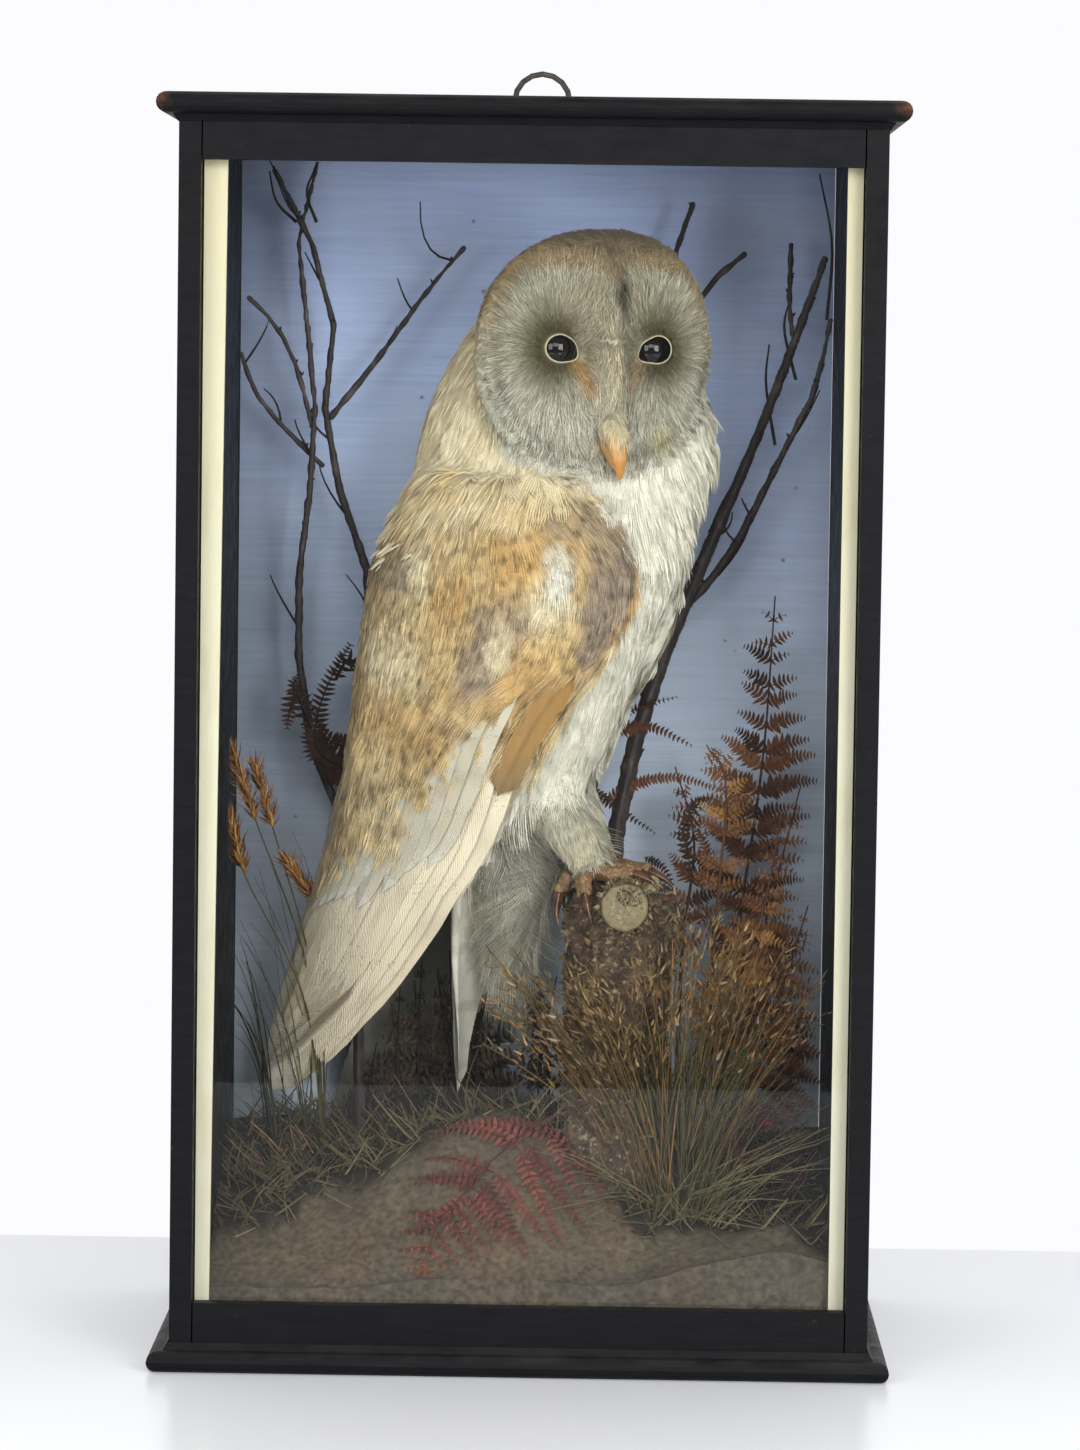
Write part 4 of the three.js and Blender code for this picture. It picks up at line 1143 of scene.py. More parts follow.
def grow(name, skin, roots, lie, style, colour, finish, seed, size=None, paint=None):
    """Tufts of narrow tapering strips that fan out into a feather's shape, in pieces of the coat."""
    draw = np.random.default_rng(seed)
    count, steps = len(lie), style["steps"]
    size = (np.ones(count) if size is None else size) * draw.uniform(0.85, 1.15, count)
    lie = unit(lie + draw.normal(0, style.get("stray", 0.08), lie.shape))
    length = style["length"] * MM * size
    spine, out = follow(skin, roots, lie, length, steps, style.get("hug", 0.85))
    k, s = tuft_grid(draw, count, style)
    points = tuft_points(draw, style, size, spine, out, k, s)
    shade = tuft_colours(draw, style, roots, colour, paint, points, k, s)
    local = np.stack([np.broadcast_to(k[None, :, None], s.shape), s * 2 - 1], -1) * PATCH / 2
    uv = (roots["uv"][:, None, None, :] + local)[:, :, :, None, :]
    coat_pieces(name, finish, points, shade, np.broadcast_to(uv, (*s.shape, 2, 2)))


def plume_finish(name, barbs=1.0):
    """Feather colour from the coat's own tint, broken up by fine speckling and barbs."""
    f = Finish(name, Roughness=0.82, Sheen_Weight=0.25, Sheen_Roughness=0.5, Specular_IOR_Level=0.25)
    tint = f.attribute("tint")
    fine = f.ramp(f.noise(1500, 3, 0.7), (0.32, 0.82), (0.66, 1.1))
    tint = f.times(tint, fine)
    soft = f.ramp(f.noise(170, 3, 0.6), (0.3, 0.9), (0.7, 1.06))
    f.set(Base_Color=f.times(tint, soft))
    f.bump(f.noise(2300, 2, 0.6), 0.00025, 0.35 * barbs)
    return f


def speckled_finish(name):
    """Feathers finely peppered with grey where their tint is buff."""
    f = Finish(name, Roughness=0.8, Sheen_Weight=0.2, Sheen_Roughness=0.5, Specular_IOR_Level=0.25)
    tint = f.attribute("tint")
    pepper = f.ramp(f.noise(1250, 4, 0.75), (0.44, 0.55), (0.58, 1.05))
    patchy = f.ramp(f.noise(120, 3, 0.6), (0.42, 0.15), (0.64, 0.75))
    tint = f.mix(patchy, tint, f.times(tint, pepper))
    fine = f.ramp(f.noise(2100, 2, 0.6), (0.3, 0.86), (0.7, 1.08))
    f.set(Base_Color=f.times(tint, fine))
    f.bump(f.noise(2300, 2, 0.6), 0.00025, 0.35)
    return f


# ---- the coat, tract by tract ----
CROWN_STYLE = {"length": 7.5, "width": 3.6, "strips": 5, "steps": 3, "hair": 0.36, "lift": 1.3,
               "spacing": 1.8, "vary": (0.72, 1.12), "stray": 0.12}
FACE_STYLE = {"length": 9, "width": 2.2, "strips": 3, "steps": 2, "hair": 0.24, "lift": 1.5, "spacing": 1.15,
              "tilt": 0.5, "stray": 0.22, "round": 0.2, "deep": 0.5, "vary": (0.56, 1.24)}
LID_STYLE = {"length": 4.2, "width": 1.3, "strips": 3, "steps": 2, "hair": 0.15, "lift": 0.7, "tilt": 0.5,
             "stray": 0.2, "round": 0.2, "deep": 0.7, "vary": (0.6, 1.1)}
RUFF_STYLE = {"length": 6, "width": 3, "strips": 5, "steps": 2, "hair": 0.36, "lift": 2.0, "spacing": 1.7}
NECK_STYLE = {"length": 13, "width": 7, "strips": 9, "steps": 4, "hair": 0.42, "lift": 1.8, "spacing": 2.8,
              "stray": 0.08, "tilt": 0.2, "deep": 0.9, "vary": (0.95, 1.04)}
BREAST_STYLE = {"length": 16, "width": 8, "strips": 11, "steps": 4, "hair": 0.4, "lift": 1.9, "spacing": 3.2,
                "stray": 0.08, "tilt": 0.2, "deep": 0.9, "vary": (0.95, 1.04)}
FLUFF_STYLE = {"length": 21, "width": 10, "strips": 11, "steps": 4, "hair": 0.3, "lift": 4.4, "spacing": 3.1,
               "stray": 0.2, "hug": 0.6, "deep": 0.8}
PLUMES_FROM = -19
FRINGE_STYLE = {"length": 15, "width": 8, "strips": 9, "steps": 4, "hair": 0.4, "lift": 3.2, "spacing": 3.0,
                "stray": 0.1, "hug": 0.3, "deep": 0.92, "vary": (0.94, 1.04)}
PUFF_STYLE = {"length": 17, "width": 9, "strips": 11, "steps": 4, "hair": 0.4, "lift": 5.0, "spacing": 3.0,
              "stray": 0.1, "hug": 0.2, "deep": 0.95, "vary": (0.96, 1.04)}
PLUME_STYLE = {"length": 36, "width": 13, "strips": 15, "steps": 5, "hair": 0.17, "lift": 5, "spacing": 4.2,
               "stray": 0.32, "hug": 0.1, "deep": 0.45, "vary": (0.45, 1.6)}
COVERT_STYLE = {"length": 13, "width": 7.5, "strips": 9, "steps": 4, "hair": 0.55, "lift": 1.2,
                "spacing": 3.1, "stray": 0.09, "cup": 0.6, "tilt": 0.25}
GREATER_STYLE = {"length": 21, "width": 9.5, "strips": 11, "steps": 5, "hair": 0.55, "lift": 3.2,
                 "spacing": 3.3, "stray": 0.12, "cup": 0.6, "tilt": 0.22}
LINING_STYLE = {"length": 15, "width": 8, "strips": 5, "steps": 3, "hair": 1.0, "lift": 0.8, "spacing": 4.5}
LEG_STYLE = {"length": 7, "width": 3, "strips": 5, "steps": 3, "hair": 0.32, "lift": 1.4, "spacing": 1.8,
             "stray": 0.16}


def head_lie(h):
    """The lie of the head's feathers in its own frame: from the eyes, over the crown, down the nape."""
    side, up = h[:, 0], h[:, 2]
    sign = np.where(side > 0, 1.0, -1.0)
    from_eye = np.stack([side - sign * EYE_PLACE[0], np.zeros(len(h)), up - EYE_PLACE[2]], 1)
    face = unit(from_eye)
    bridge = np.stack([0.25 * sign * ease(up, -10, 20), np.zeros(len(h)), np.where(up > 4, 1.0, -1.0)], 1)
    middle = bell(side, 6.5) * (1 - 0.2 * ease(up, 10, 24))
    face = unit(face * (1 - middle)[:, None] + bridge * middle[:, None])
    over_crown = np.stack([0.25 * side / 40, 0.5 + 0.5 * ease(up, 0, 40), -1.15 + 0.75 * ease(up, 0, 40)], 1)
    share = disc_share(h)[:, None]
    return face * share + unit(over_crown) * (1 - share)


def body_lie(normals):
    back = -(normals @ FORWARD)[:, None]
    sides = (normals @ RIGHTWARD)[:, None]
    return unit(DOWN - FORWARD * (0.25 + 0.12 * back) + RIGHTWARD * 0.05 * sides)


def over_bill(skin):
    """The skin's and the bill's surfaces together, for feathers that flow over the bill."""
    points, faces = joined([(skin.points, skin.faces), node_mesh("bill_upper", 0.4 * MM)])
    return SimpleNamespace(tree=BVHTree.FromPolygons(points.tolist(), faces.tolist()))


BRISTLE_STYLE = {"length": 7.5, "width": 1.5, "strips": 3, "steps": 3, "hair": 0.17, "lift": 0.7,
                 "stray": 0.16, "round": 0.2, "deep": 0.8, "vary": (0.8, 1.08)}
BRISTLES = 700
BILL_SHOWN = 12.5  # mm of the bill's tip that the bristles leave bare


def grow_bristles(skin, surface, plain):
    """White bristles over the ridge and sides of the bill, down to its bare tip."""
    points, faces = node_mesh("bill_upper", 0.4 * MM)
    draw = np.random.default_rng(27)
    tri = points[faces]
    normal = np.cross(tri[:, 1] - tri[:, 0], tri[:, 2] - tri[:, 0])
    area = np.linalg.norm(normal, axis=1)
    face = draw.choice(len(faces), BRISTLES, p=area / area.sum())
    at = np.einsum("nk,nkc->nc", draw.dirichlet((1, 1, 1), BRISTLES), tri[face])
    bare = (at[:, 2] - points[:, 2].min()) / MM
    kept = draw.random(BRISTLES) < ease(bare, BILL_SHOWN + 3, BILL_SHOWN + 9)
    at, out = at[kept], unit(normal[face][kept])
    roots = {"at": at, "normal": out, "uv": map_places(skin, at)}
    down = from_head(np.tile((0.0, -0.12, -1.0), (len(at), 1)), origin=False)
    colour = plain_colour(CREAM * WARMTH * FACE_SHADE, len(at))
    grow("coat_bristles", surface, roots, down, BRISTLE_STYLE, colour, plain, 28)


LID_FEATHERS = 330  # round each eye


def grow_lid_feathers(skin, plain):
    """Tiny feathers on the lids, all pointing away from the eye."""
    draw = np.random.default_rng(29)
    at, out, lie = [], [], []
    for side in (1, -1):
        turn = draw.uniform(0, 2 * math.pi, LID_FEATHERS)
        radius = draw.uniform(LID_RING + 0.9, LID_SKIRT, LID_FEATHERS)
        places, away = lid_places(side, turn, radius)
        at.append(from_head(places))
        lie.append(from_head(away, origin=False))
        out.append(from_head(np.tile(eye_frame(side)[1], (LID_FEATHERS, 1)) + 0.35 * away, origin=False))
    at, out, lie = np.vstack(at), unit(np.vstack(out)), np.vstack(lie)
    uv = map_places(skin, at)
    colour = plumage(at + lie * 2 * MM, out, np.zeros(len(at), int))
    grow("coat_lids", skin, {"at": at, "normal": out, "uv": uv}, lie, LID_STYLE, colour, plain, 30)


def clear_of(h, radius):
    """False for roots inside either eye's lids."""
    return (eye_gap(h) > radius) | (h[:, 1] > 0)


def grow_head(skin, plain, speckled):
    on_head = skin.face_tract == FLESH.index("head")
    middle = in_head(skin.points[skin.faces].mean(1))
    share = disc_share(middle)
    roots = skin.scatter(on_head & (share < 0.5), CROWN_STYLE["spacing"], 21)
    h = in_head(roots["at"])
    lie = from_head(head_lie(h), origin=False)
    colour = root_colour(roots)
    grow("coat_crown", skin, roots, lie, CROWN_STYLE, colour, speckled, 22)
    roots = skin.scatter(on_head & (share > 0.2), FACE_STYLE["spacing"], 23)
    roots = chosen(roots, clear_of(in_head(roots["at"]), LID_SKIRT - 1.2))
    h = in_head(roots["at"])
    size = 0.5 + 0.5 * ease(eye_gap(h), 9, 20)
    lie = from_head(head_lie(h), origin=False)
    colour = root_colour(roots)
    surface = over_bill(skin)
    grow("coat_face", surface, roots, lie, FACE_STYLE, colour, plain, 24, size,
         lambda points, normals: head_colour(in_head(points)) * WARMTH)
    grow_bristles(skin, surface, plain)
    grow_lid_feathers(skin, plain)
    rim = np.abs(disc_rim(middle) - 0.93) < 0.035
    roots = skin.scatter(on_head & rim & (share > 0.05) & (middle[:, 1] < 2), RUFF_STYLE["spacing"], 25)
    h = in_head(roots["at"])
    lie = from_head(unit(h * (1, 0, 1) + (0, -22, 0)), origin=False)
    colour = root_colour(roots)
    grow("coat_ruff", skin, roots, lie, RUFF_STYLE, colour, plain, 26)


def grow_body(skin, plain, speckled):
    for number, (tract, style) in enumerate((("neck", NECK_STYLE), ("trunk", BREAST_STYLE))):
        wanted = skin.face_tract == FLESH.index(tract)
        roots = skin.scatter(wanted, style["spacing"], 31 + number)
        places = in_case(roots["at"])
        colour = root_colour(roots)
        mantle = (-(roots["normal"] @ FORWARD) > 0.35) & (places[:, 2] > 200) & (places[:, 2] < 332)
        low = places[:, 2] < 215
        roots["spots"] = (np.random.default_rng(33).random(len(places)) < 0.5) * mantle
        lie = body_lie(roots["normal"])
        for place, part, kind, finish in (("", ~mantle & ~low, style, plain),
                                          ("_back", mantle, style, speckled),
                                          ("_vent", ~mantle & low, FLUFF_STYLE, plain)):
            if part.any():
                grow("coat_" + tract + place, skin, chosen(roots, part), lie[part], kind, colour[part],
                     finish, 35 + number)
    wanted = skin.face_tract == FLESH.index("trunk")
    roots = skin.scatter(wanted, PLUME_STYLE["spacing"], 43)
    low = (in_case(roots["at"])[:, 2] < 216) & (roots["normal"] @ FORWARD > -0.8)
    low &= in_case(roots["at"])[:, 0] > PLUMES_FROM  # left of this the tail shows
    roots = chosen(roots, low)
    lie = one_way((0.03, -0.06, -1.0), low.sum())
    # painted shade: the white plumes under the body are darkened to 0.56
    colour = plain_colour(PEARL * WARMTH * 0.56, low.sum())
    grow("coat_vent_plumes", skin, roots, lie, PLUME_STYLE, colour, plain, 44)
    for side in ("right", "left"):
        roots = skin.scatter(skin.face_tract == FLESH.index("leg_" + side), LEG_STYLE["spacing"], 41)
        colour = root_colour(roots)
        lie = one_way((0.25, -0.1, -1.0), len(colour))
        grow("coat_leg_" + side, skin, roots, lie, LEG_STYLE, colour, plain, 42)


def grow_fringe(skin, plain):
    """Long soft feathers of the neck and shoulders that hang over the tops of the wings."""
    roots = skin.scatter(skin.face_tract != FLESH.index("head"), FRINGE_STYLE["spacing"], 46)
    places = in_case(roots["at"])
    edge = 333 + 4 * lumps(places, 11, 47)
    held = (np.abs(places[:, 2] - edge - 3) < 9) & (places[:, 0] < 12)
    held &= roots["tract"] != FLESH.index("wing_left")
    roots = chosen(roots, held)
    lie = one_way((-0.1, 0.0, -1.0), held.sum())
    colour = over(plain_colour(CREAM, held.sum()), BUFF, 0.35 + 0.25 * lumps(places[held], 9, 49)) * WARMTH
    grow("coat_fringe", skin, roots, lie, FRINGE_STYLE, colour, plain, 48)


def grow_puff(skin, plain):
    """The breast's puffed feathers beside the neck, on the viewer's right."""
    roots = skin.scatter(skin.face_tract != FLESH.index("head"), PUFF_STYLE["spacing"], 57)
    places = in_case(roots["at"])
    held = (np.abs(places[:, 2] - 334) < 20) & (places[:, 0] > 40) & (roots["normal"][:, 1] < 0.6)
    roots = chosen(roots, held)
    lie = one_way((0.12, -0.05, -1.0), held.sum())
    # painted light: the puff is a little brighter than the white breast
    colour = plain_colour(SNOW * WARMTH * 1.04, held.sum())
    grow("coat_puff", skin, roots, lie, PUFF_STYLE, colour, plain, 58)


def wing_paint(left):
    """Colours a wing's feathers by where they lie, so that its patches run on from one to the next."""
    def paint(points, normals):
        return wing_side_colour(in_case(points), normals, left) * WARMTH
    return paint


def grow_wings(skin, plain, speckled):
    for side, left in (("right", False), ("left", True)):
        on_wing = skin.face_tract == FLESH.index("wing_" + side)
        roots = skin.scatter(on_wing, COVERT_STYLE["spacing"] * (1.12 if left else 1.0), 51)
        places = in_case(roots["at"])
        own = swapped_side(places, False) if left else places
        along, across, lie = wing_place(own)
        if left:
            lie = unit(lie - 2 * (lie @ RIGHTWARD)[:, None] * RIGHTWARD)
        outer = facing_out(roots["normal"], left) > -0.3
        colour = root_colour(roots)
        above = COVERT_EDGE[0] + COVERT_EDGE[1] * across + 0.02 * lumps(own, 14, 55) - along
        roots["spots"] = (np.random.default_rng(52).random(len(places)) < 0.55) * (above > -0.03)
        paint = wing_paint(left)
        for name, part, style, finish, seed, painted in (
                ("coverts", outer & (above > -0.01), COVERT_STYLE, speckled, 53, paint),
                ("greater", outer & (above > -0.06) & (above < 0.08), GREATER_STYLE, speckled, 56, paint),
                ("lining", ~outer & (along < 0.7) & (own[:, 1] > 50), LINING_STYLE, plain, 54, None)):
            grow(f"coat_{name}_{side}", skin, chosen(roots, part), lie[part], style, colour[part], finish,
                 seed, paint=painted)


# ---- quills: the long feathers of wings and tail ----
VANE_STEPS = 18
VANE_COLUMNS = 9


def vane(path, normal, half, colour, draw, notches=3, cup=0.35, blunt=0.5):
    """Points, quads and colours of one long feather: path in mm with the way out of it, half width in mm."""
    count = len(path)
    s = np.linspace(0, 1, count)
    ahead = unit(np.gradient(path, axis=0))
    across = np.cross(normal, ahead)
    u = np.linspace(-1, 1, VANE_COLUMNS)
    rounded = blunt * 0.3  # the share of the length that its round end takes
    end = np.clip(1 - ((s - (1 - rounded)) / rounded) ** 2 * (s > 1 - rounded), 0.0, 1)
    width = half * np.minimum(1, 0.35 + s * 2.4) * np.sqrt(end)
    ragged = np.ones((count, 2))
    for _ in range(notches):
        at, side, deep = draw.uniform(0.35, 0.95), draw.integers(2), draw.uniform(0.08, 0.22)
        ragged[:, side] -= deep * np.clip(1 - np.abs(s - at) / 0.05, 0, 1)
    reach = np.where(u[None] < 0, ragged[:, :1], ragged[:, 1:]) * width[:, None]
    rachis = 0.3 * bell(u, 0.16) * (1 - 0.7 * s[:, None])
    flat = path[:, None] + across[:, None] * (u[None] * reach)[..., None]
    points = flat + normal[:, None] * (rachis - cup * u[None] ** 2)[..., None]
    swept = 0.28 * half * np.abs(u[None]) ** 1.5 * ease(s, 0.5, 1)[:, None]
    points = points - ahead[:, None] * swept[..., None]
    base = np.arange(count * VANE_COLUMNS).reshape(count, VANE_COLUMNS)
    quads = grid_quads(base)
    shade = np.broadcast_to(colour, (count, VANE_COLUMNS, 3)).copy()
    shade *= (1 - 0.25 * bell(u, 0.1))[None, :, None]
    return points.reshape(-1, 3), quads, shade.reshape(-1, 3), u[None] * reach, s


def quill_finish():
    """Smooth long vanes with slanting barbs, read from each feather's own length and width."""
    f = Finish("quills", Roughness=0.62, Sheen_Weight=0.15, Specular_IOR_Level=0.35)
    tint = f.attribute("tint")
    u, s = f.attribute("vane_across", "Fac"), f.attribute("vane_along", "Fac")
    slant = f.math("ADD", s, f.math("MULTIPLY", f.math("ABSOLUTE", u), -0.9))
    slant = f.math("ADD", slant, f.math("MULTIPLY", f.noise(300, 2), 1.2))
    wave = f.math("SINE", f.math("MULTIPLY", slant, 7.0))
    barbs = f.ramp(f.math("MULTIPLY_ADD", wave, 0.5, 0.5), (0.0, 0.9), (0.8, 1.03))
    tint = f.times(tint, barbs)
    speck = f.ramp(f.noise(900, 3, 0.7), (0.56, 0.0), (0.68, 1.0))
    rows = f.ramp(f.math("SINE", f.math("MULTIPLY", s, 0.36)), (0.55, 0.0), (0.9, 0.75))
    f.set(Base_Color=f.mix(f.math("MULTIPLY", speck, rows), tint, srgb(120, 112, 104)))
    f.bump(wave, 0.00012, 0.6)
    return f


def quill_piece(name, vanes, skin, finish, left=False):
    """One piece from a wing's or the tail's long feathers."""
    points, faces = joined([(v[0], v[1]) for v in vanes])
    if left:
        points = swapped_side(points, True)
        faces = faces[:, ::-1]
    rows = points * MM + (0, FRONT, 0)
    obj = mesh_object(name, rows, faces, finish)
    set_tint(obj, np.vstack([v[2] for v in vanes]))
    for field, values in (("vane_across", [v[3].ravel() for v in vanes]),
                          ("vane_along", [np.repeat(v[4] * 100, VANE_COLUMNS) for v in vanes])):
        held = obj.data.attributes.new(field, "FLOAT", "POINT")
        held.data.foreach_set("value", np.concatenate(values).astype(np.float32))
    corner = np.empty((len(points), 2))
    start = 0
    for v in vanes:
        count = len(v[0])
        root = rows[start:start + VANE_COLUMNS].mean(0)
        face = skin.tree.find_nearest(Vector(root))[2]
        local = np.stack([np.tile(np.linspace(-0.5, 0.5, VANE_COLUMNS), VANE_STEPS),
                          np.repeat(np.linspace(-0.5, 0.5, VANE_STEPS), VANE_COLUMNS)], 1)
        corner[start:start + count] = skin.uv[face].mean(0) + local * PATCH
        start += count
    set_map(obj, corner[faces.ravel()])
    piece(obj, "plumage")


def edged(made, strength, left):
    """A long feather with its leading edge darkened, partly its own dark edge and partly painted shade where
    the feathers overlap, its tip pale and its length mottled.
    """
    points, faces, shade, reach, s = made
    lead = ease(-reach.ravel(), 3.6, 6.0)
    along = np.repeat(s, VANE_COLUMNS)
    shade = over(shade, UMBER, strength * lead)
    shade = over(shade, SNOW, 0.5 * ease(along, 0.86, 1.0))
    shade = over(shade, SMOKE, 0.22 * ease(np.sin(along * 31 + shade[0, 0] * 90), 0.5, 1.0))
    # painted shade darkens the far wing's long feathers
    return points, faces, shade * (FAR_WING_SHADE if left else 1.0), reach, s


def wing_quill(root, tip, half, rise, colour, draw, **shape):
    """A long feather on the wing's outer face from root to tip, each (along, across), sunk at its root."""
    s = np.linspace(0, 1, VANE_STEPS)
    along = root[0] + (tip[0] - root[0]) * s
    across = root[1] + (tip[1] - root[1]) * s
    place, normal = wing_surface(along, across)
    height = QUILL_SUNK + (rise - QUILL_SUNK) * ease(s, 0.05, 0.5)
    return vane(place + normal * height[:, None], normal, half, colour, draw, **shape)


PRIMARIES = 12
SECONDARIES = 13
TAIL_FEATHERS = 12
SECONDARY_SHADE = np.array((0.86, 0.86, 0.82))
FAR_WING_SHADE = 0.4  # painted shade: the left wing's long feathers are darkened
QUILL_SUNK = -2.0  # mm, under the coverts
COVERT_EDGE = (0.46, 0.20)  # how far along the wing the coverts reach: in front, and more behind


def wing_feathers(draw, left):
    """The primaries, the secondaries over them and, on the near wing, the gold bar."""
    vanes = []
    for k in range(PRIMARIES):  # the first lies lowest, along the trailing edge
        f = k / (PRIMARIES - 1)
        colour = between(QUILL, CREAM, 0.35 + 0.3 * draw.random())
        root = (0.50, 0.66 - 0.62 * f)
        tip = (0.92 + 0.08 * min(1, 1.6 * f), 1.0 - 0.93 * f)
        made = wing_quill(root, tip, 8.4, -0.6 + 0.13 * k, colour, draw, notches=9, blunt=0.3)
        vanes.append(edged(made, 0.8 if k == PRIMARIES - 1 else 0.45 * f, left))
    for k in range(SECONDARIES):
        f = k / (SECONDARIES - 1)
        colour = between(QUILL, PEARL, 0.2 + 0.6 * draw.random()) * SECONDARY_SHADE
        root = (0.56 - 0.14 * f, 0.9 - 0.78 * f)
        tip = (0.745 + 0.012 * draw.normal() - 0.075 * f * f, 0.93 - 0.76 * f)
        made = wing_quill(root, tip, 6.3, 0.45 + 0.08 * k, colour, draw, notches=3, blunt=1.0)
        vanes.append(edged(made, 0.22, left))
    return vanes if left else vanes + [gold_bar(draw)]


def gold_bar(draw):
    """The broad feather along the near wing's leading edge, olive towards its tip."""
    made = wing_quill((0.435, 0.01), (0.605, 0.04), 6.3, 1.9, BAR_GOLD, draw, notches=4, blunt=0.25)
    points, faces, shade, reach, s = made
    fade = ease(np.repeat(s, VANE_COLUMNS) + 0.08 * reach.ravel() / 6, 0.6, 1.0)
    shade = over(shade, OLIVE, 0.55 * fade) * draw.uniform(0.9, 1.08, (len(shade), 1))
    return points, faces, shade, reach, s


def tail_feather(k, draw):
    """One feather of the tail's stack, which steps outwards from the middle pair on top."""
    f = (k if k % 2 == 0 else -k - 1) / TAIL_FEATHERS
    s = np.linspace(0, 1, VANE_STEPS)[:, None]
    shift = RIGHTWARD * 13.5 * f * (1 - 0.72 * s)
    rise = np.array((0, 0, 30.0 * f * f)) * s
    under = FORWARD * (3.2 - 4 * abs(f) - 0.05 * k) * (1 - 0.7 * s)
    path = TAIL_ROOT + (TAIL_TIP - TAIL_ROOT) * s + shift + rise - under
    normal = unit(np.tile(-FORWARD + RIGHTWARD * 0.5 * f, (VANE_STEPS, 1)))
    points, faces, shade, reach, along = vane(path, normal, 5.2, np.array(SNOW), draw, notches=3, blunt=2.2)
    bars = 0.3 * ease(np.sin(np.repeat(along, VANE_COLUMNS) * 22), 0.7, 0.95)
    return points, faces, over(shade, LILAC, bars), reach, along


def grow_quills(skin, finish):
    for side, left in (("right", False), ("left", True)):
        vanes = wing_feathers(np.random.default_rng(61), left)
        quill_piece("quills_wing_" + side, vanes, skin, finish, left)
    draw = np.random.default_rng(62)
    quill_piece("quills_tail", [tail_feather(k, draw) for k in range(TAIL_FEATHERS)], skin, finish)


# ---- eyes, lids, bill and feet ----
def eye_finish():
    f = Finish("eye_glass", Roughness=0.05, Specular_IOR_Level=0.3)
    f.set(Base_Color=f.ramp(f.noise(240, 3), (0.35, srgb(9, 8, 8)), (0.7, srgb(20, 16, 14))))
    return f


def lid_finish():
    f = Finish("lid_skin", Roughness=0.6, Subsurface_Weight=0.1)
    mottle = f.ramp(f.noise(700, 4), (0.35, 0.8), (0.7, 1.1))
    f.set(Base_Color=f.times(f.attribute("tint"), mottle))
    f.bump(f.noise(1600, 3), 0.0002, 0.5)
    return f


def eye_frame(side):
    """An eye's centre in the head and its own axes: out of the face, across and up, in the head's frame."""
    centre = EYE_PLACE * (side, 1, 1)
    out = np.array((side * math.sin(EYE_SPLAY), -math.cos(EYE_SPLAY), 0.02))
    across = unit(np.cross(np.array((0, 0, 1.0)), out)) * side  # towards the bill
    return centre, unit(out), across, np.array((0, 0, 1.0))


def make_eyes():
    glass = eye_finish()
    rows, columns = 20, 36
    for name, side in (("left", 1), ("right", -1)):
        centre, out, across, up = eye_frame(side)
        polar = np.linspace(0.001, math.pi - 0.001, rows)[:, None]
        turn = np.linspace(0, 2 * math.pi, columns, endpoint=False)[None]
        ball = (out * np.cos(polar)[..., None] + across * (np.sin(polar) * np.cos(turn))[..., None]
                + up * (np.sin(polar) * np.sin(turn))[..., None])
        dome = 1 + 0.02 * np.clip(np.cos(polar), 0, 1)[..., None] ** 2
        points = from_head(centre + ball * EYE_RADIUS * dome)
        base = np.arange(rows * columns).reshape(rows, columns)
        quads = ring_quads(base)
        caps = np.array([[row + k, row + k + 1, row + columns - 2 - k, row + columns - 1 - k]
                         for row in (0, (rows - 1) * columns) for k in range(columns // 2 - 1)])
        obj = mesh_object("glass_eye_" + name, points.reshape(-1, 3), np.vstack([quads, caps]), glass)
        bm = bmesh.new()
        bm.from_mesh(obj.data)
        bmesh.ops.recalc_face_normals(bm, faces=bm.faces)
        bm.to_mesh(obj.data)
        bm.free()
        piece(obj, "eye_glass", "eye_" + name)


LID_RING = 5.85  # radius of the rim round the visible eye, mm
LID_SKIRT = 10.2  # and of the lids' outer edge, under the face's feathers
LID_TURNS = 64
LID_PROFILE = [(-0.3, -0.5), (-0.1, 0.2), (0.1, 0.35), (0.35, 0.3), (0.6, 0.12)]  # rim: outwards, off the eye


OPENING_SHIFT = 2.0  # mm that the lids' opening sits towards the bill on its eye


def lid_places(side, turn, radius):
    """Places on the lids' slope round an eye, and the way from the eye there, in the head's frame."""
    centre, out, across, up = eye_frame(side)
    corner = bell((turn + 2.6 + math.pi) % (2 * math.pi) - math.pi, 0.42)  # drawn out towards the bill
    shape = 1 - 0.1 * np.sin(turn) ** 2 - 0.07 * bell(turn - 2.2, 0.5) + 0.22 * corner
    away = across * np.cos(turn)[:, None] + up * np.sin(turn)[:, None]
    reach = radius * (1 + (shape - 1) * np.clip((LID_SKIRT - radius) / (LID_SKIRT - LID_RING), 0, 1))
    shift = OPENING_SHIFT * np.clip((LID_SKIRT - radius) / (LID_SKIRT - LID_RING), 0, 1)
    offset = away * reach[:, None] - across * shift[:, None]
    reach = np.linalg.norm(offset, axis=1)
    ball = np.sqrt(np.maximum(EYE_RADIUS**2 - np.minimum(reach, 7.6) ** 2, 0))
    slope = ball - 0.75 * np.maximum(reach - 7.6, 0) + 0.15
    return centre + offset + out * slope[:, None], away


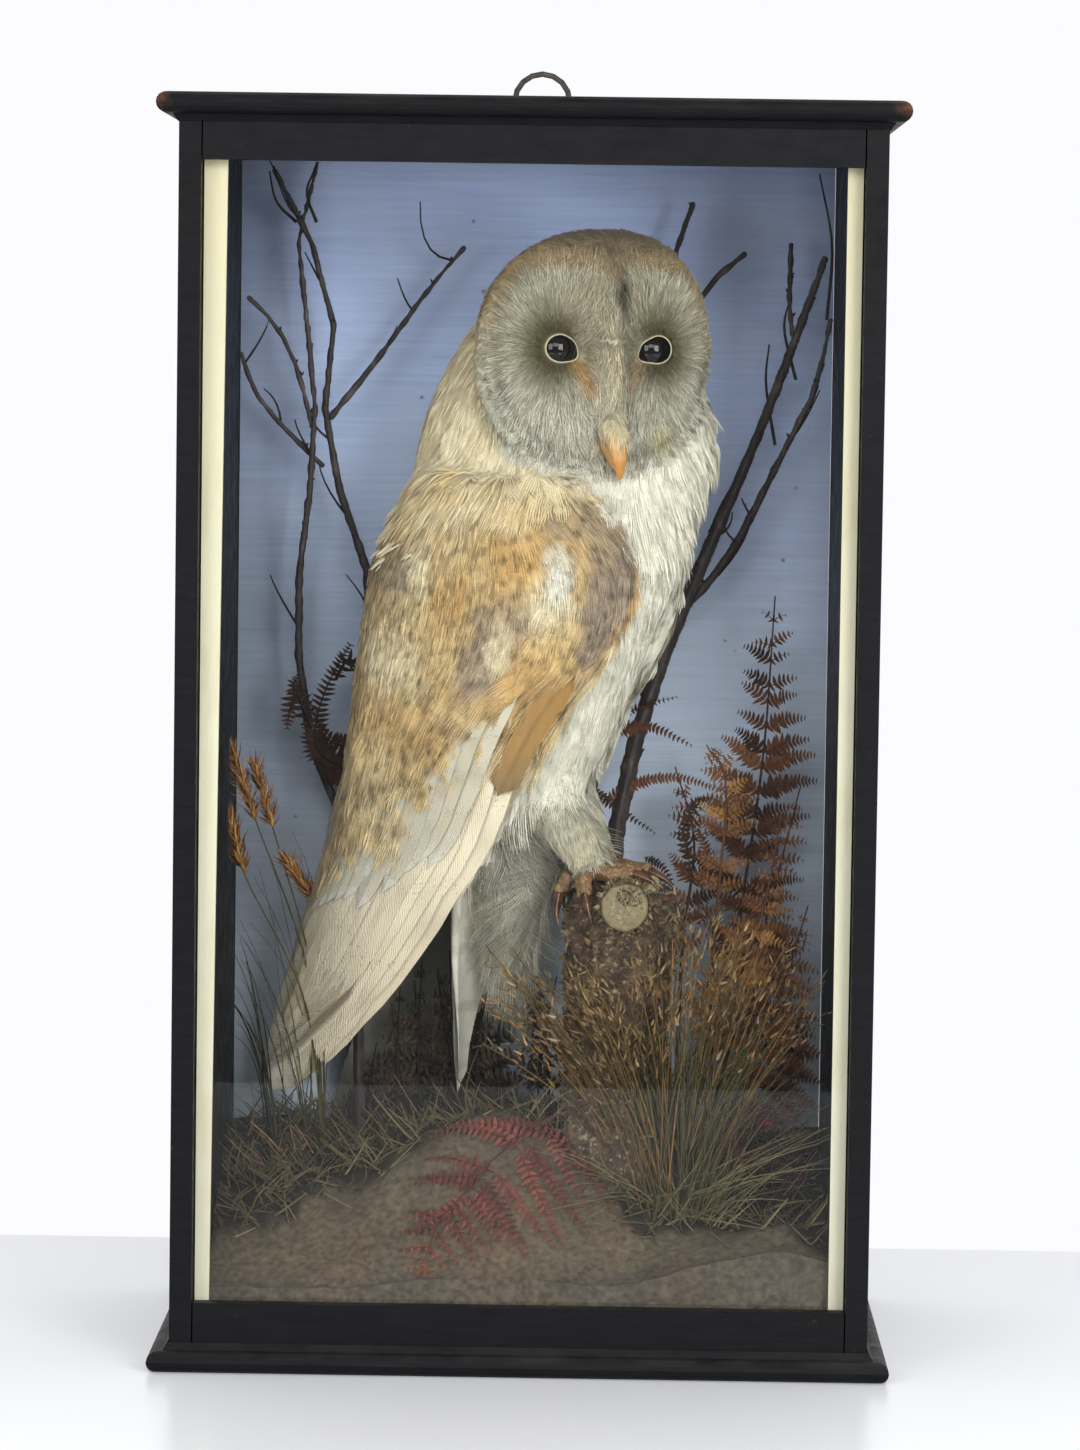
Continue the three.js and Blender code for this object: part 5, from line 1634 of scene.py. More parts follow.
def make_lids():
    """Lids from a pale rolled rim on each eye to a skirt under the face's feathers."""
    lids = lid_finish()
    parts, tints = [], []
    turn = np.linspace(0, 2 * math.pi, LID_TURNS, endpoint=False)
    base = np.arange(LID_TURNS * (len(LID_PROFILE) + 6)).reshape(-1, LID_TURNS)
    quads = ring_quads(base)
    slopes = (7.0, 7.5, 8.0, 8.7, 9.4, LID_SKIRT)
    for side in (1, -1):
        out = eye_frame(side)[1]
        rings = []
        for outward, off in LID_PROFILE:
            rings.append(lid_places(side, turn, np.full(LID_TURNS, LID_RING + outward))[0] + out * off)
        for radius in slopes:
            rings.append(lid_places(side, turn, np.full(LID_TURNS, radius))[0] + out * 0.25)
        places = np.stack(rings)
        parts.append((from_head(places).reshape(-1, 3), quads[:, ::side]))
        shown = plumage(from_head(places).reshape(-1, 3), np.tile((0, -1.0, 0), (places[..., 0].size, 1)),
                        np.zeros(places[..., 0].size, int))
        pale = np.repeat([1.0] * 3 + [0.4, 0.05] + [0.0] * 6, LID_TURNS)
        tints.append(over(shown * 0.6, srgb(182, 172, 140), pale))
    obj = mesh_object("owl_eyelids", *joined(parts), lids)
    set_tint(obj, np.vstack(tints))
    piece(obj, "plumage")


def horn_finish(name, base, tip, low, high):
    """Horn that runs from one colour to another between two heights."""
    f = Finish(name, Roughness=0.38, Coat_Weight=0.2)
    height = f.share("Z", low, high)
    horn = f.ramp(f.math("ADD", height, f.math("MULTIPLY", f.noise(300, 3), 0.3)), (0.2, tip), (0.85, base))
    streaks = f.ramp(f.noise(900, 3, 0.6, stretch=(1, 1, 0.2)), (0.3, 0.85), (0.7, 1.08))
    f.set(Base_Color=f.times(horn, streaks))
    f.bump(f.noise(700, 4, stretch=(1, 1, 0.3)), 0.0002, 0.5)
    return f


def make_bill():
    low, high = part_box("bill_upper")
    horn = horn_finish("bill_horn", srgb(184, 150, 100), srgb(190, 124, 44), low.z - 0.002, high.z)
    for node in ("bill_upper", "bill_lower"):
        obj = smoothed_copy(node + "_horn", node, horn, 0.5 * MM, 6)
        piece(obj, "bill_horn", node)


def make_feet():
    toes = Finish("toe_skin", Roughness=0.6)
    scales = toes.cells(720)
    tan = toes.ramp(toes.noise(260, 4), (0.35, srgb(118, 88, 58)), (0.7, srgb(160, 128, 90)))
    toes.set(Base_Color=toes.mix(toes.ramp(scales, (0.3, 0.0), (0.6, 0.6)), tan, srgb(78, 58, 40)))
    toes.bump(toes.ramp(scales, (0.2, 1.0), (0.6, 0.0)), 0.0004, 0.7)
    claws = Finish("claw_horn", Roughness=0.32, Coat_Weight=0.3)
    claws.set(Base_Color=claws.ramp(claws.noise(300, 3), (0.35, srgb(44, 34, 28)), (0.7, srgb(104, 66, 42))))
    claws.bump(claws.noise(900, 3), 0.0002, 0.4)
    for side in ("left", "right"):
        obj = smoothed_copy("toes_" + side, "foot_" + side, toes, 0.7 * MM, 5)
        moved(obj, lambda p: 0.35 * MM + 0.25 * MM * lumps(p, 3.2 * MM, 71))
        piece(obj, "toe_skin", "foot_" + side)
        for toe in ("hind", "inner", "middle", "outer"):
            node = f"claw_{side}_{toe}"
            obj = smoothed_copy(node + "_horn", node, claws, 0.45 * MM, 4)
            piece(obj, "claw_horn", node)


def make_owl():
    plain, speckled = plume_finish("plumage_plain"), speckled_finish("plumage_speckled")
    skin = Skin(plain)
    piece(skin.obj, "plumage", *FLESH)
    make_eyes()
    make_lids()
    make_bill()
    make_feet()
    grow_head(skin, plain, speckled)
    grow_body(skin, plain, speckled)
    grow_fringe(skin, plain)
    grow_puff(skin, plain)
    grow_wings(skin, plain, speckled)
    grow_quills(skin, quill_finish())


# ---- groundwork ----
GROUND_STEP = 1.1  # mm between the ground's points
GROUND_SPILL = 40.0  # mm above the ground from which its height is looked for
LITTER_EDGE = [  # the bare sand ends here: across, back
    (-119, 35), (-97, 44), (-74, 57), (-47, 57), (-32, 60), (-17, 66), (20, 68), (40, 44), (52, 36),
    (75, 40), (95, 34), (119, 18),
]
SAND = srgb(86, 76, 60)
# painted shade on the sand towards the case's front
SHADED_SAND = srgb(74, 68, 60)
WET_SAND = srgb(64, 60, 54)
LITTER = srgb(30, 29, 22)


class Ground:
    """The case's modelled ground: its height at any place, and its mesh."""

    def __init__(self):
        low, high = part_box("groundwork")
        self.low, self.high = in_case(low), in_case(high)
        points, faces = node_mesh("groundwork")
        tree = BVHTree.FromPolygons(points.tolist(), faces.tolist())
        columns = int((self.high[0] - self.low[0]) / GROUND_STEP)
        rows = int((self.high[1] - self.low[1]) / GROUND_STEP)
        self.x = np.linspace(self.low[0] + 0.02, self.high[0] - 0.02, columns)
        self.y = np.linspace(self.low[1] + 0.02, self.high[1] - 0.02, rows)
        height = np.full((rows, columns), np.nan)
        floor = self.low[2] + 4
        for i, y in enumerate(self.y):
            for j, x in enumerate(self.x):
                found = tree.ray_cast(spot(x, y, self.high[2] + GROUND_SPILL), Vector((0, 0, -1)))
                if found[0] and found[0].z / MM > floor:
                    height[i, j] = found[0].z / MM
        cut = np.isnan(height)
        height[cut] = np.nanmean(height)
        for _ in range(260):  # the cuts round the stump and the boughs are filled in
            height[cut] = self.evened(height)[cut]
        for _ in range(22):
            height = self.evened(height)
        self.height = height

    @staticmethod
    def evened(grid):
        wide = np.pad(grid, 1, mode="edge")
        return (wide[:-2, 1:-1] + wide[2:, 1:-1] + wide[1:-1, :-2] + wide[1:-1, 2:]) / 4

    def at(self, x, y):
        """Height in mm at places across and back."""
        column = np.clip((np.asarray(x) - self.x[0]) / (self.x[1] - self.x[0]), 0, len(self.x) - 1.001)
        row = np.clip((np.asarray(y) - self.y[0]) / (self.y[1] - self.y[0]), 0, len(self.y) - 1.001)
        j, i = column.astype(int), row.astype(int)
        fx, fy = column - j, row - i
        upper = self.height[i, j] * (1 - fx) + self.height[i, j + 1] * fx
        return upper * (1 - fy) + (self.height[i + 1, j] * (1 - fx) + self.height[i + 1, j + 1] * fx) * fy

    def rest(self, points, gap=0.6):
        """Points in mm, those under the ground lifted onto it."""
        points = np.array(points, float)
        floor = self.at(points[..., 0], points[..., 1]) + gap
        points[..., 2] = np.maximum(points[..., 2], floor)
        return points


def littered(x, y):
    """1 where moss and litter hide the sand."""
    edge = np.interp(x, *np.array(LITTER_EDGE, float).T)
    ragged = 3 * np.sin(x / 5.3) + 2 * np.sin(x / 2.1 + y / 4)
    return ease(y - edge + ragged, -4, 5)


def ground_finish():
    """Glued sand over modelled paper, gritty, with darker leaf mould behind."""
    f = Finish("groundwork", Roughness=0.95, Specular_IOR_Level=0.2)
    tint = f.attribute("tint")
    grain = f.ramp(f.noise(420, 6, 0.7), (0.38, 0.58), (0.64, 1.36))
    tint = f.times(tint, grain)
    blotch = f.ramp(f.noise(55, 4, 0.6), (0.35, 0.82), (0.68, 1.12))
    f.set(Base_Color=f.times(tint, blotch))
    f.bump(f.noise(620, 4, 0.6), 0.0004, 0.45)
    f.bump(f.noise(160, 4, 0.6), 0.0012, 0.6)
    return f


def make_ground(ground):
    across, back = np.meshgrid(ground.x, ground.y)
    flat = np.stack([across.ravel(), back.ravel(), np.zeros(across.size)], 1)
    litter = littered(across.ravel(), back.ravel())
    relief = 0.35 * lumps(flat, 17, 81) + 0.22 * lumps(flat, 5, 82)
    relief = relief + litter * (1.6 + 1.2 * lumps(flat, 9, 83))
    mossy = bell(np.hypot(flat[:, 0] + 88, (flat[:, 1] - 105) * 0.8), 34)
    up = ground.height.ravel() + np.clip(relief, -1.6, 3.2) + 5 * mossy * litter
    top = np.stack([flat[:, 0], flat[:, 1], up], 1)
    rows, columns = across.shape
    base = np.arange(rows * columns).reshape(rows, columns)
    faces = grid_quads(base)
    rim = np.concatenate([base[0, :-1], base[:-1, -1], base[-1, :0:-1], base[:0:-1, 0]])
    foot = top[rim] * (1, 1, 0) + (0, 0, ground.low[2])
    low = len(top) + np.arange(len(rim))
    skirt = np.stack([rim, low, np.roll(low, -1), np.roll(rim, -1)], 1)
    points = np.vstack([top, foot]) * MM + (0, FRONT, 0)
    obj = mesh_object("ground_surface", points, np.vstack([faces, skirt]), ground_finish())
    every = np.vstack([flat, flat[rim]])
    # painted shade: the sand darkens towards the case's front, and a quarter of the way everywhere
    front_shade = ease(20 - every[:, 1] + 5 * lumps(every, 30, 84), -6, 10)
    colour = over(plain_colour(SAND, len(every)), SHADED_SAND, 0.75 * front_shade + 0.25)
    colour = over(colour, srgb(98, 80, 64), 0.3 * ease(lumps(every, 24, 85), 0.3, 0.9))
    colour = over(colour, WET_SAND, 0.55 * ease(lumps(every, 40, 86), 0.1, 0.8))
    set_tint(obj, over(colour, LITTER, littered(every[:, 0], every[:, 1]) * 0.92))
    piece(obj, "groundwork", "groundwork")


# ---- stems, leaflets and flakes ----
def leaf_finish(name, rough=0.75):
    """Dried leaves and stems, coloured by their own tint and mottled."""
    f = Finish(name, Roughness=rough, Specular_IOR_Level=0.25)
    tint = f.attribute("tint")
    mottle = f.ramp(f.noise(420, 4, 0.7), (0.32, 0.68), (0.68, 1.22))
    f.set(Base_Color=f.times(tint, mottle))
    f.bump(f.noise(1300, 3), 0.0002, 0.5)
    return f


def strands(paths, radii, sides=3):
    """Points and quads of many thin tubes at once; paths goes by strand, step and place."""
    count, steps = paths.shape[:2]
    ahead = unit(np.gradient(paths, axis=1))
    guide = np.where(np.abs(ahead[..., 1:2]) < 0.8, (0.0, 1.0, 0.1), (1.0, 0.0, 0.1))
    across = unit(np.cross(ahead, guide))
    other = np.cross(ahead, across)
    turn = np.linspace(0, 2 * math.pi, sides, endpoint=False)[:, None]
    ring = across[:, :, None] * np.cos(turn) + other[:, :, None] * np.sin(turn)
    points = paths[:, :, None] + ring * np.broadcast_to(radii, (count, steps))[:, :, None, None]
    base = np.arange(count * steps * sides).reshape(count, steps, sides)
    beside = np.roll(base, -1, 2)
    quads = np.stack([base[:, :-1], beside[:, :-1], beside[:, 1:], base[:, 1:]], -1)
    return points.reshape(-1, 3), quads.reshape(-1, 4)


LEAF_ROWS = 4
LEAF_COLUMNS = 3


def leaflets(at, way, face, length, half, curl=0.25, fold=0.35):
    """Points and quads of many small pointed leaves: root, direction, upper side, size and curl."""
    way, face = unit(way), unit(face)
    across = unit(np.cross(face, way))
    face = np.cross(way, across)
    s = np.linspace(0, 1, LEAF_ROWS)[None, :, None, None]
    u = np.linspace(-1, 1, LEAF_COLUMNS)[None, None, :, None]
    length, half = (np.broadcast_to(size, len(at))[:, None, None, None] for size in (length, half))
    wide = half * (0.35 + 0.65 * np.sin(math.pi * np.minimum(1, 0.25 + 0.75 * s))) * (1 - 0.75 * s**3)
    points = at[:, None, None] + way[:, None, None] * length * s + across[:, None, None] * wide * u
    points = points - face[:, None, None] * (curl * length * s**2 + fold * wide * u**2)
    base = np.arange(len(at) * LEAF_ROWS * LEAF_COLUMNS).reshape(len(at), LEAF_ROWS, LEAF_COLUMNS)
    return points.reshape(-1, 3), grid_quads(base)


CASE_INSIDE = np.array(((-118.4, 11.5, 0), (118.4, 154.5, 500)))  # its clear room, mm
DRIED = 0.68  # how much darker dusty old stems and leaves are than their colours here


class Foliage:
    """Gathers tubes and leaves in mm, each with its colour, into one piece."""

    def __init__(self, seed):
        self.parts = []
        self.tints = []
        self.draw = np.random.default_rng(seed)

    def take(self, made, colours, each):
        self.parts.append(made)
        self.tints.append(np.repeat(np.asarray(colours, float).reshape(-1, 3), each, axis=0))

    def stems(self, paths, radii, colours, sides=3):
        made = strands(paths, radii, sides)
        self.take(made, np.broadcast_to(colours, (len(paths), 3)), paths.shape[1] * sides)

    def leaves(self, at, way, face, length, half, colours, **shape):
        made = leaflets(at, way, face, length, half, **shape)
        self.take(made, np.broadcast_to(colours, (len(at), 3)), LEAF_ROWS * LEAF_COLUMNS)

    def varied(self, count, *colours, spread=0.18):
        """A colour for each of count things: blends of colours, lighter and darker."""
        share = self.draw.dirichlet(np.full(len(colours), 0.6), count)
        return (share @ np.array(colours)) * self.draw.uniform(1 - spread, 1 + spread, (count, 1))

    def finish(self, name, look, slot, *replaced, ground=None):
        """Makes the piece, kept above the ground and inside the case."""
        points, faces = joined(self.parts)
        if ground:
            points = ground.rest(points)
        points = np.clip(points, *CASE_INSIDE)
        obj = mesh_object(name, points * MM + (0, FRONT, 0), faces, look)
        set_tint(obj, np.vstack(self.tints) * DRIED)
        return piece(obj, slot, *replaced)


# ---- bracken and fern ----
def pinna(foliage, path, face, leaf, colours, gap=1.9, slant=0.35, wide=0.36, curl=0.25, rib=0.28):
    """One leafy branch of a frond: paired leaflets along a path in mm, longest near its foot."""
    steps = max(8, len(path))
    places, ahead = spline(path, steps * 2)
    long = np.linalg.norm(np.diff(places, axis=0), axis=1).sum()
    count = max(3, int(long / gap))
    s = np.linspace(0.06, 1, count)
    at = np.stack([np.interp(s, np.linspace(0, 1, len(places)), places[:, k]) for k in range(3)], 1)
    tangent = unit(np.stack([np.interp(s, np.linspace(0, 1, len(ahead)), ahead[:, k]) for k in range(3)], 1))
    upper = unit(face - (tangent @ face)[:, None] * tangent)
    across = np.cross(upper, tangent)
    size = leaf * (0.55 + 0.45 * ease(s, 0, 0.2)) * (1 - 0.8 * s**1.4) + 0.35
    radius = rib * (1 - 0.75 * np.linspace(0, 1, len(places)))
    shade = foliage.varied(1, *colours)
    foliage.stems(places[None], radius[None], shade * 0.75)
    for side in (-1, 1):
        stray = foliage.draw.normal(0, 0.12, (count, 3))
        way = across * side + tangent * slant + stray
        tone = shade * foliage.draw.uniform(0.8, 1.2, (count, 1))
        own = size * foliage.draw.uniform(0.8, 1.1, count)
        foliage.leaves(at, way, upper + stray, own, size * wide * 0.5, tone, curl=curl)


def frond(foliage, route, side, length, pairs, leaf, colours, start=0.12, rise=0.5, droop=0.2,
          ragged=0.1, ground=None, taper=1.0, side_scale=(1, 1), gap=1.5, other=None):
    """A frond: a rib with pairs of pinnae that shorten to its tip; side is the way across it.

    On the ground its second row of pinnae may go another way than straight across."""
    places, ahead = spline(route, 60)
    radius = np.linspace(0.95, 0.3, 60)
    radius *= 0.5 if ground else 1.0
    foliage.stems(places[None], radius[None], foliage.varied(1, *colours) * 0.6, sides=5)
    draw = foliage.draw
    across = unit(np.asarray(side, float))
    for k in range(pairs):
        t = start + (1 - start) * (k / pairs) ** 0.9
        t += draw.normal(0, 0.15 / pairs)
        at = int(np.clip(t, 0, 0.99) * 59)
        tangent = ahead[at]
        sideways = across if ground else unit(across - (across @ tangent) * tangent)
        face = np.cross(tangent, sideways)
        face = face if face[1] < 0 else -face
        grown = (t - start) / (1 - start)
        reach = length * min(1.0, 0.6 + grown / 0.18 * 0.4) * (1 - grown) ** taper + 0.06 * length
        for which, way in enumerate((-1, 1)):
            own = reach * draw.uniform(1 - ragged, 1 + ragged) * side_scale[which]
            if own < 2:
                continue
            outward = sideways * way if way < 0 or other is None else unit(other)
            heading = unit(outward + tangent * (rise + draw.normal(0, 0.15)) + face * draw.normal(0, 0.22))
            s = np.linspace(0, 1, 7)[:, None]
            path = places[at] + heading * own * s + DOWN * droop * own * s**2
            if ground:
                path[:, 2] = ground.at(path[:, 0], path[:, 1]) + 2.6 + 0.8 * draw.random()
            small = leaf * (0.3 + 0.7 * min(1, own / (0.75 * length)))
            upper = np.array((0.1, -0.85, 0.6)) if ground else face
            pinna(foliage, path, upper, small, colours, gap=2.4 if ground else gap, wide=0.4)
    tip = places[-8:][None]
    foliage.stems(tip, np.full((1, 8), 0.3), foliage.varied(1, *colours))


RUSSET = srgb(102, 62, 40)
FOX = srgb(128, 84, 52)
BARK_BROWN = srgb(54, 36, 26)
STRAW_GOLD = srgb(170, 124, 62)
MAROON = srgb(84, 42, 32)
CRIMSON = srgb(134, 72, 60)
DEEP_CRIMSON = srgb(108, 56, 48)
FLAME = srgb(186, 104, 58)


def seen_at(px, py, back):
    """The place in the case, in mm, that the photo shows at a pixel, on a plane back mm behind the front."""
    eye, way = camera_ray(px, py)
    return eye + way * ((back - eye[1]) / way[1])


CURLED_BACK = 119
CURLED_FRONDS = [  # the dried frond left of the owl: its ribs in the photo's pixels, leaflet, gap and width
    (((362, 800), (345, 770), (322, 755), (315, 735), (322, 700), (336, 668), (350, 645)), 7.5, 1.9, 0.34),
    (((362, 735), (350, 745), (332, 742), (320, 728), (318, 712)), 6.5, 1.9, 0.42),
    (((336, 680), (348, 660), (360, 668), (364, 680)), 5.0, 2.0, 0.4),
    (((312, 728), (300, 700), (294, 686), (298, 676)), 5.5, 1.8, 0.42),
    (((296, 690), (289, 712), (287, 728)), 5.0, 1.8, 0.42),
    (((316, 765), (338, 772), (352, 790), (360, 800)), 6.5, 1.8, 0.42),
]


DARK_BRACKEN = (BARK_BROWN, srgb(34, 26, 22), srgb(70, 44, 30))
TALL_FRONDS = [  # each frond's route and way across in mm, reach, pairs, leaflet, colours and habit
    ([(70, 112, 90), (84, 118, 160), (93, 124, 225), (97, 128, 290)], (1, 0.12, -0.12), 29, 15, 5.6,
     (RUSSET, FOX, BARK_BROWN), {"start": 0.3, "rise": 0.85, "droop": 0.25, "taper": 0.62, "ragged": 0.25}),
    ([(76, 108, 90), (92, 112, 150), (108, 116, 215)], (0.9, -0.3, -0.2), 26, 13, 5.5,
     (RUSSET, MAROON, FOX), {"start": 0.25, "droop": 0.3, "ragged": 0.3}),
]
LOW_FRONDS = [
    ([(66, 92, 96), (78, 86, 130), (92, 86, 165), (100, 90, 208)], (0.9, -0.1, -0.35), 27, 15, 5.5,
     (FOX, STRAW_GOLD, RUSSET), {"start": 0.2, "droop": 0.25, "ragged": 0.28}),
    ([(60, 104, 90), (62, 112, 150), (66, 116, 192), (58, 116, 222)], (1, 0.2, 0.1), 17, 13, 4.5,
     (BARK_BROWN, RUSSET, FOX), {"start": 0.35, "rise": 0.6, "droop": 0.1, "ragged": 0.28}),
    ([(84, 82, 88), (98, 76, 130), (110, 74, 172)], (0.8, -0.2, -0.4), 22, 13, 5.0,
     (MAROON, RUSSET, FOX), {"start": 0.2, "droop": 0.35, "ragged": 0.28}),
    ([(74, 98, 92), (74, 100, 150), (78, 102, 214), (70, 104, 232)], (1, 0, 0.1), 15, 13, 4.5,
     (FOX, RUSSET, STRAW_GOLD), {"start": 0.45, "rise": 0.6, "droop": 0.15, "ragged": 0.28}),
    ([(92, 96, 92), (104, 94, 110), (112, 92, 142)], (0.5, -0.2, -0.8), 20, 11, 5.0,
     (MAROON, DEEP_CRIMSON, RUSSET), {"start": 0.15, "droop": 0.3, "ragged": 0.28}),
]
SPRIGS = [  # dead bits caught under the tail: route and leaflet
    ([(34, 115, 236), (48, 113, 238), (64, 112, 231)], 3.6),
    ([(38, 115, 243), (47, 114, 247), (58, 113, 250)], 2.2),
    ([(28, 113, 207), (44, 112, 216), (60, 111, 218), (76, 112, 213)], 3.4),
    ([(24, 112, 214), (36, 112, 205), (50, 111, 196)], 3.0),
    ([(66, 112, 178), (62, 111, 196), (66, 111, 208), (72, 111, 210)], 3.6),
    ([(72, 110, 176), (70, 108, 192), (62, 108, 203)], 3.2),
    ([(46, 112, 186), (54, 111, 182), (60, 110, 170)], 2.4),
    ([(30, 116, 190), (24, 115, 198), (21, 114, 212)], 2.6),
]


def add_fronds(foliage, fronds):
    for *shape, habit in fronds:
        frond(foliage, *shape, **habit)


def make_bracken():
    look = leaf_finish("bracken")
    for seed, name, fronds in ((91, "bracken_tall", TALL_FRONDS), (92, "bracken_low", LOW_FRONDS)):
        foliage = Foliage(seed)
        add_fronds(foliage, fronds)
        foliage.finish(name + "_leaves", look, "bracken", name)
    curled = Foliage(93)
    for pixels, leaf, gap, wide in CURLED_FRONDS:
        rib = [seen_at(px, py, CURLED_BACK) for px, py in pixels]
        pinna(curled, rib, np.array((0.2, -1, 0.1)), leaf, DARK_BRACKEN, gap=gap, slant=0.25, wide=wide,
              curl=0.5, rib=0.9)
    curled.finish("bracken_left_leaves", look, "bracken", "bracken_left")
    bits = Foliage(94)
    for route, leaf in SPRIGS:
        pinna(bits, route, np.array((0.1, -1, 0.3)), leaf, (BARK_BROWN, RUSSET), gap=1.6, wide=0.5, curl=0.5)
    bits.finish("bracken_sprigs", look, "bracken")


FERN_RIB = [(26, 56, 96), (7, 54, 88), (-5, 44, 80), (-16, 38, 71), (-23, 33, 62), (-31, 29, 53),
            (-36, 20, 41), (-39, 13.5, 30)]
RIGHT_FERNS = [
    ([(71, 78, 62), (84, 73, 82), (98, 68, 93), (114, 63, 96)], (0.1, -0.55, 0.8), 24, 11, 4.4,
     (DEEP_CRIMSON, MAROON, CRIMSON), {"start": 0.1, "rise": 0.5, "droop": 0.1}),
    ([(66, 70, 62), (80, 62, 72), (98, 56, 74), (112, 50, 66)], (0.1, -0.7, 0.5), 17, 9, 4.0,
     (DEEP_CRIMSON, MAROON), {"start": 0.15, "rise": 0.5, "droop": 0.2}),
]


def make_ferns(ground):
    look = leaf_finish("dyed_fern")
    front = Foliage(95)
    frond(front, FERN_RIB, (1.0, -0.12, -0.1), 36, 15, 4.8, (CRIMSON, DEEP_CRIMSON, MAROON), start=0.05,
          rise=0.12, droop=0, ground=ground, taper=0.75, side_scale=(1.0, 0.95), other=(0.75, -0.62, 0.1))
    points = np.vstack([part[0] for part in front.parts])
    glow = ease(48 - points[:, 2], 0, 16)  # its tip is dyed brighter
    front.tints = [over(np.vstack(front.tints), FLAME, 0.55 * glow)]
    front.finish("fern_front_leaves", look, "dyed_fern", "fern_front", ground=ground)
    right = Foliage(96)
    add_fronds(right, RIGHT_FERNS)
    right.finish("fern_right_leaves", look, "dyed_fern", "fern_right", ground=ground)


# ---- grasses, moss and litter ----
def arcs(roots, tips, bow, steps=9):
    """Stems from roots to tips that start upright and lean over by bow."""
    s = np.linspace(0, 1, steps)[None, :, None]
    middle = roots + (tips - roots) * (0.35, 0.35, 0.62) + bow
    return roots[:, None] * (1 - s) ** 2 + middle[:, None] * 2 * s * (1 - s) + tips[:, None] * s**2


def spikelets(foliage, paths, each, reach, length, half, colours, start=0.6):
    """Small chaffy ears set round the upper part of each stem."""
    draw = foliage.draw
    count, steps = paths.shape[:2]
    s = start + (1 - start) * draw.random((count, each))
    at = s * (steps - 1)
    low = np.minimum(at.astype(int), steps - 2)
    part = (at - low)[..., None]
    row = np.arange(count)[:, None]
    place = paths[row, low] * (1 - part) + paths[row, low + 1] * part
    ahead = unit(paths[row, low + 1] - paths[row, low])
    off = draw.normal(0, 1, place.shape)
    off = unit(off - (off * ahead).sum(-1, keepdims=True) * ahead)
    stand = reach * (1.15 - s)[..., None] * draw.uniform(0.2, 1, (count, each, 1)) / (1.15 - start)
    foot = place + off * stand + ahead * stand * 0.8
    thread = np.stack([place, place + (foot - place) * 0.5 + ahead * stand * 0.15, foot], 2).reshape(-1, 3, 3)
    tints = foliage.varied(count * each, *colours)
    foliage.stems(thread, np.full((1, 3), 0.13), tints * 0.7)
    way = (ahead * 1.2 + off * 0.55 + draw.normal(0, 0.2, place.shape)).reshape(-1, 3)
    face = (np.array((0, -1.0, 0.3)) + draw.normal(0, 0.5, place.shape)).reshape(-1, 3)
    sizes = length * draw.uniform(0.6, 1.25, count * each)
    foliage.leaves(foot.reshape(-1, 3), way, face, sizes, half * draw.uniform(0.7, 1.2, count * each), tints,
                   fold=0.8)


def fan(foliage, ground, root, tips, count, spread, scatter, bow, radii, colours, lean=(0, 0, 0),
        within=(-1000, 1000)):
    """Fine stems from about one place on the ground to about a row of places; gives back their paths."""
    draw = foliage.draw
    tips = np.array(tips, float)
    at = (np.arange(count) + draw.random(count)) / count * (len(tips) - 1)
    k = np.minimum(at.astype(int), len(tips) - 2)
    end = tips[k] + (tips[k + 1] - tips[k]) * (at - k)[:, None] + draw.normal(0, 1, (count, 3)) * scatter
    start = (*root, 0.0) + draw.normal(0, 1, (count, 3)) * spread
    start[:, 0] += 0.18 * (end[:, 0] - root[0])
    start[:, 2] = ground.at(start[:, 0], start[:, 1]) - 0.5
    end[:, 0] = np.clip(end[:, 0], *within)
    paths = arcs(start, end, lean + draw.normal(0, bow, (count, 3)))
    foliage.stems(paths, np.linspace(*radii, 9)[None], foliage.varied(count, *colours))
    return paths


GRASS_OLIVE = srgb(92, 84, 44)
GRASS_GREEN = srgb(66, 68, 38)
GRASS_PALE = srgb(150, 142, 104)
GRASS_DARK = srgb(40, 38, 28)
EAR_GOLD = srgb(154, 118, 64)
EAR_RUST = srgb(126, 88, 56)
EAR_PALE = srgb(188, 160, 120)
PLUME_ORANGE = srgb(190, 122, 58)
PLUME_AMBER = srgb(210, 158, 88)

CLUMP_ROOT = (58, 60)
EARED_TIPS = [(-15, 44, 137), (-2, 46, 143), (14, 44, 142), (25, 42, 136), (37, 40, 136), (48, 42, 154),
              (67, 44, 166), (83, 44, 164), (98, 46, 156), (117, 48, 140)]
INNER_TIPS = [(20, 52, 112), (40, 46, 118), (62, 44, 132), (84, 46, 130), (104, 50, 116)]
SPRAWL_TIPS = [(10, 40, 72), (30, 34, 62), (66, 34, 60), (96, 36, 70), (117, 40, 92)]
LEFT_ROOT, LEFT_LOW_ROOT = (-80, 118), (-96, 116)
LEFT_TIPS = [(-117, 106, 145), (-113, 108, 160), (-110, 110, 176), (-100, 112, 190), (-86, 114, 186)]
LEFT_LOW_TIPS = [(-118, 108, 110), (-116, 104, 132), (-118, 102, 146), (-110, 104, 140)]


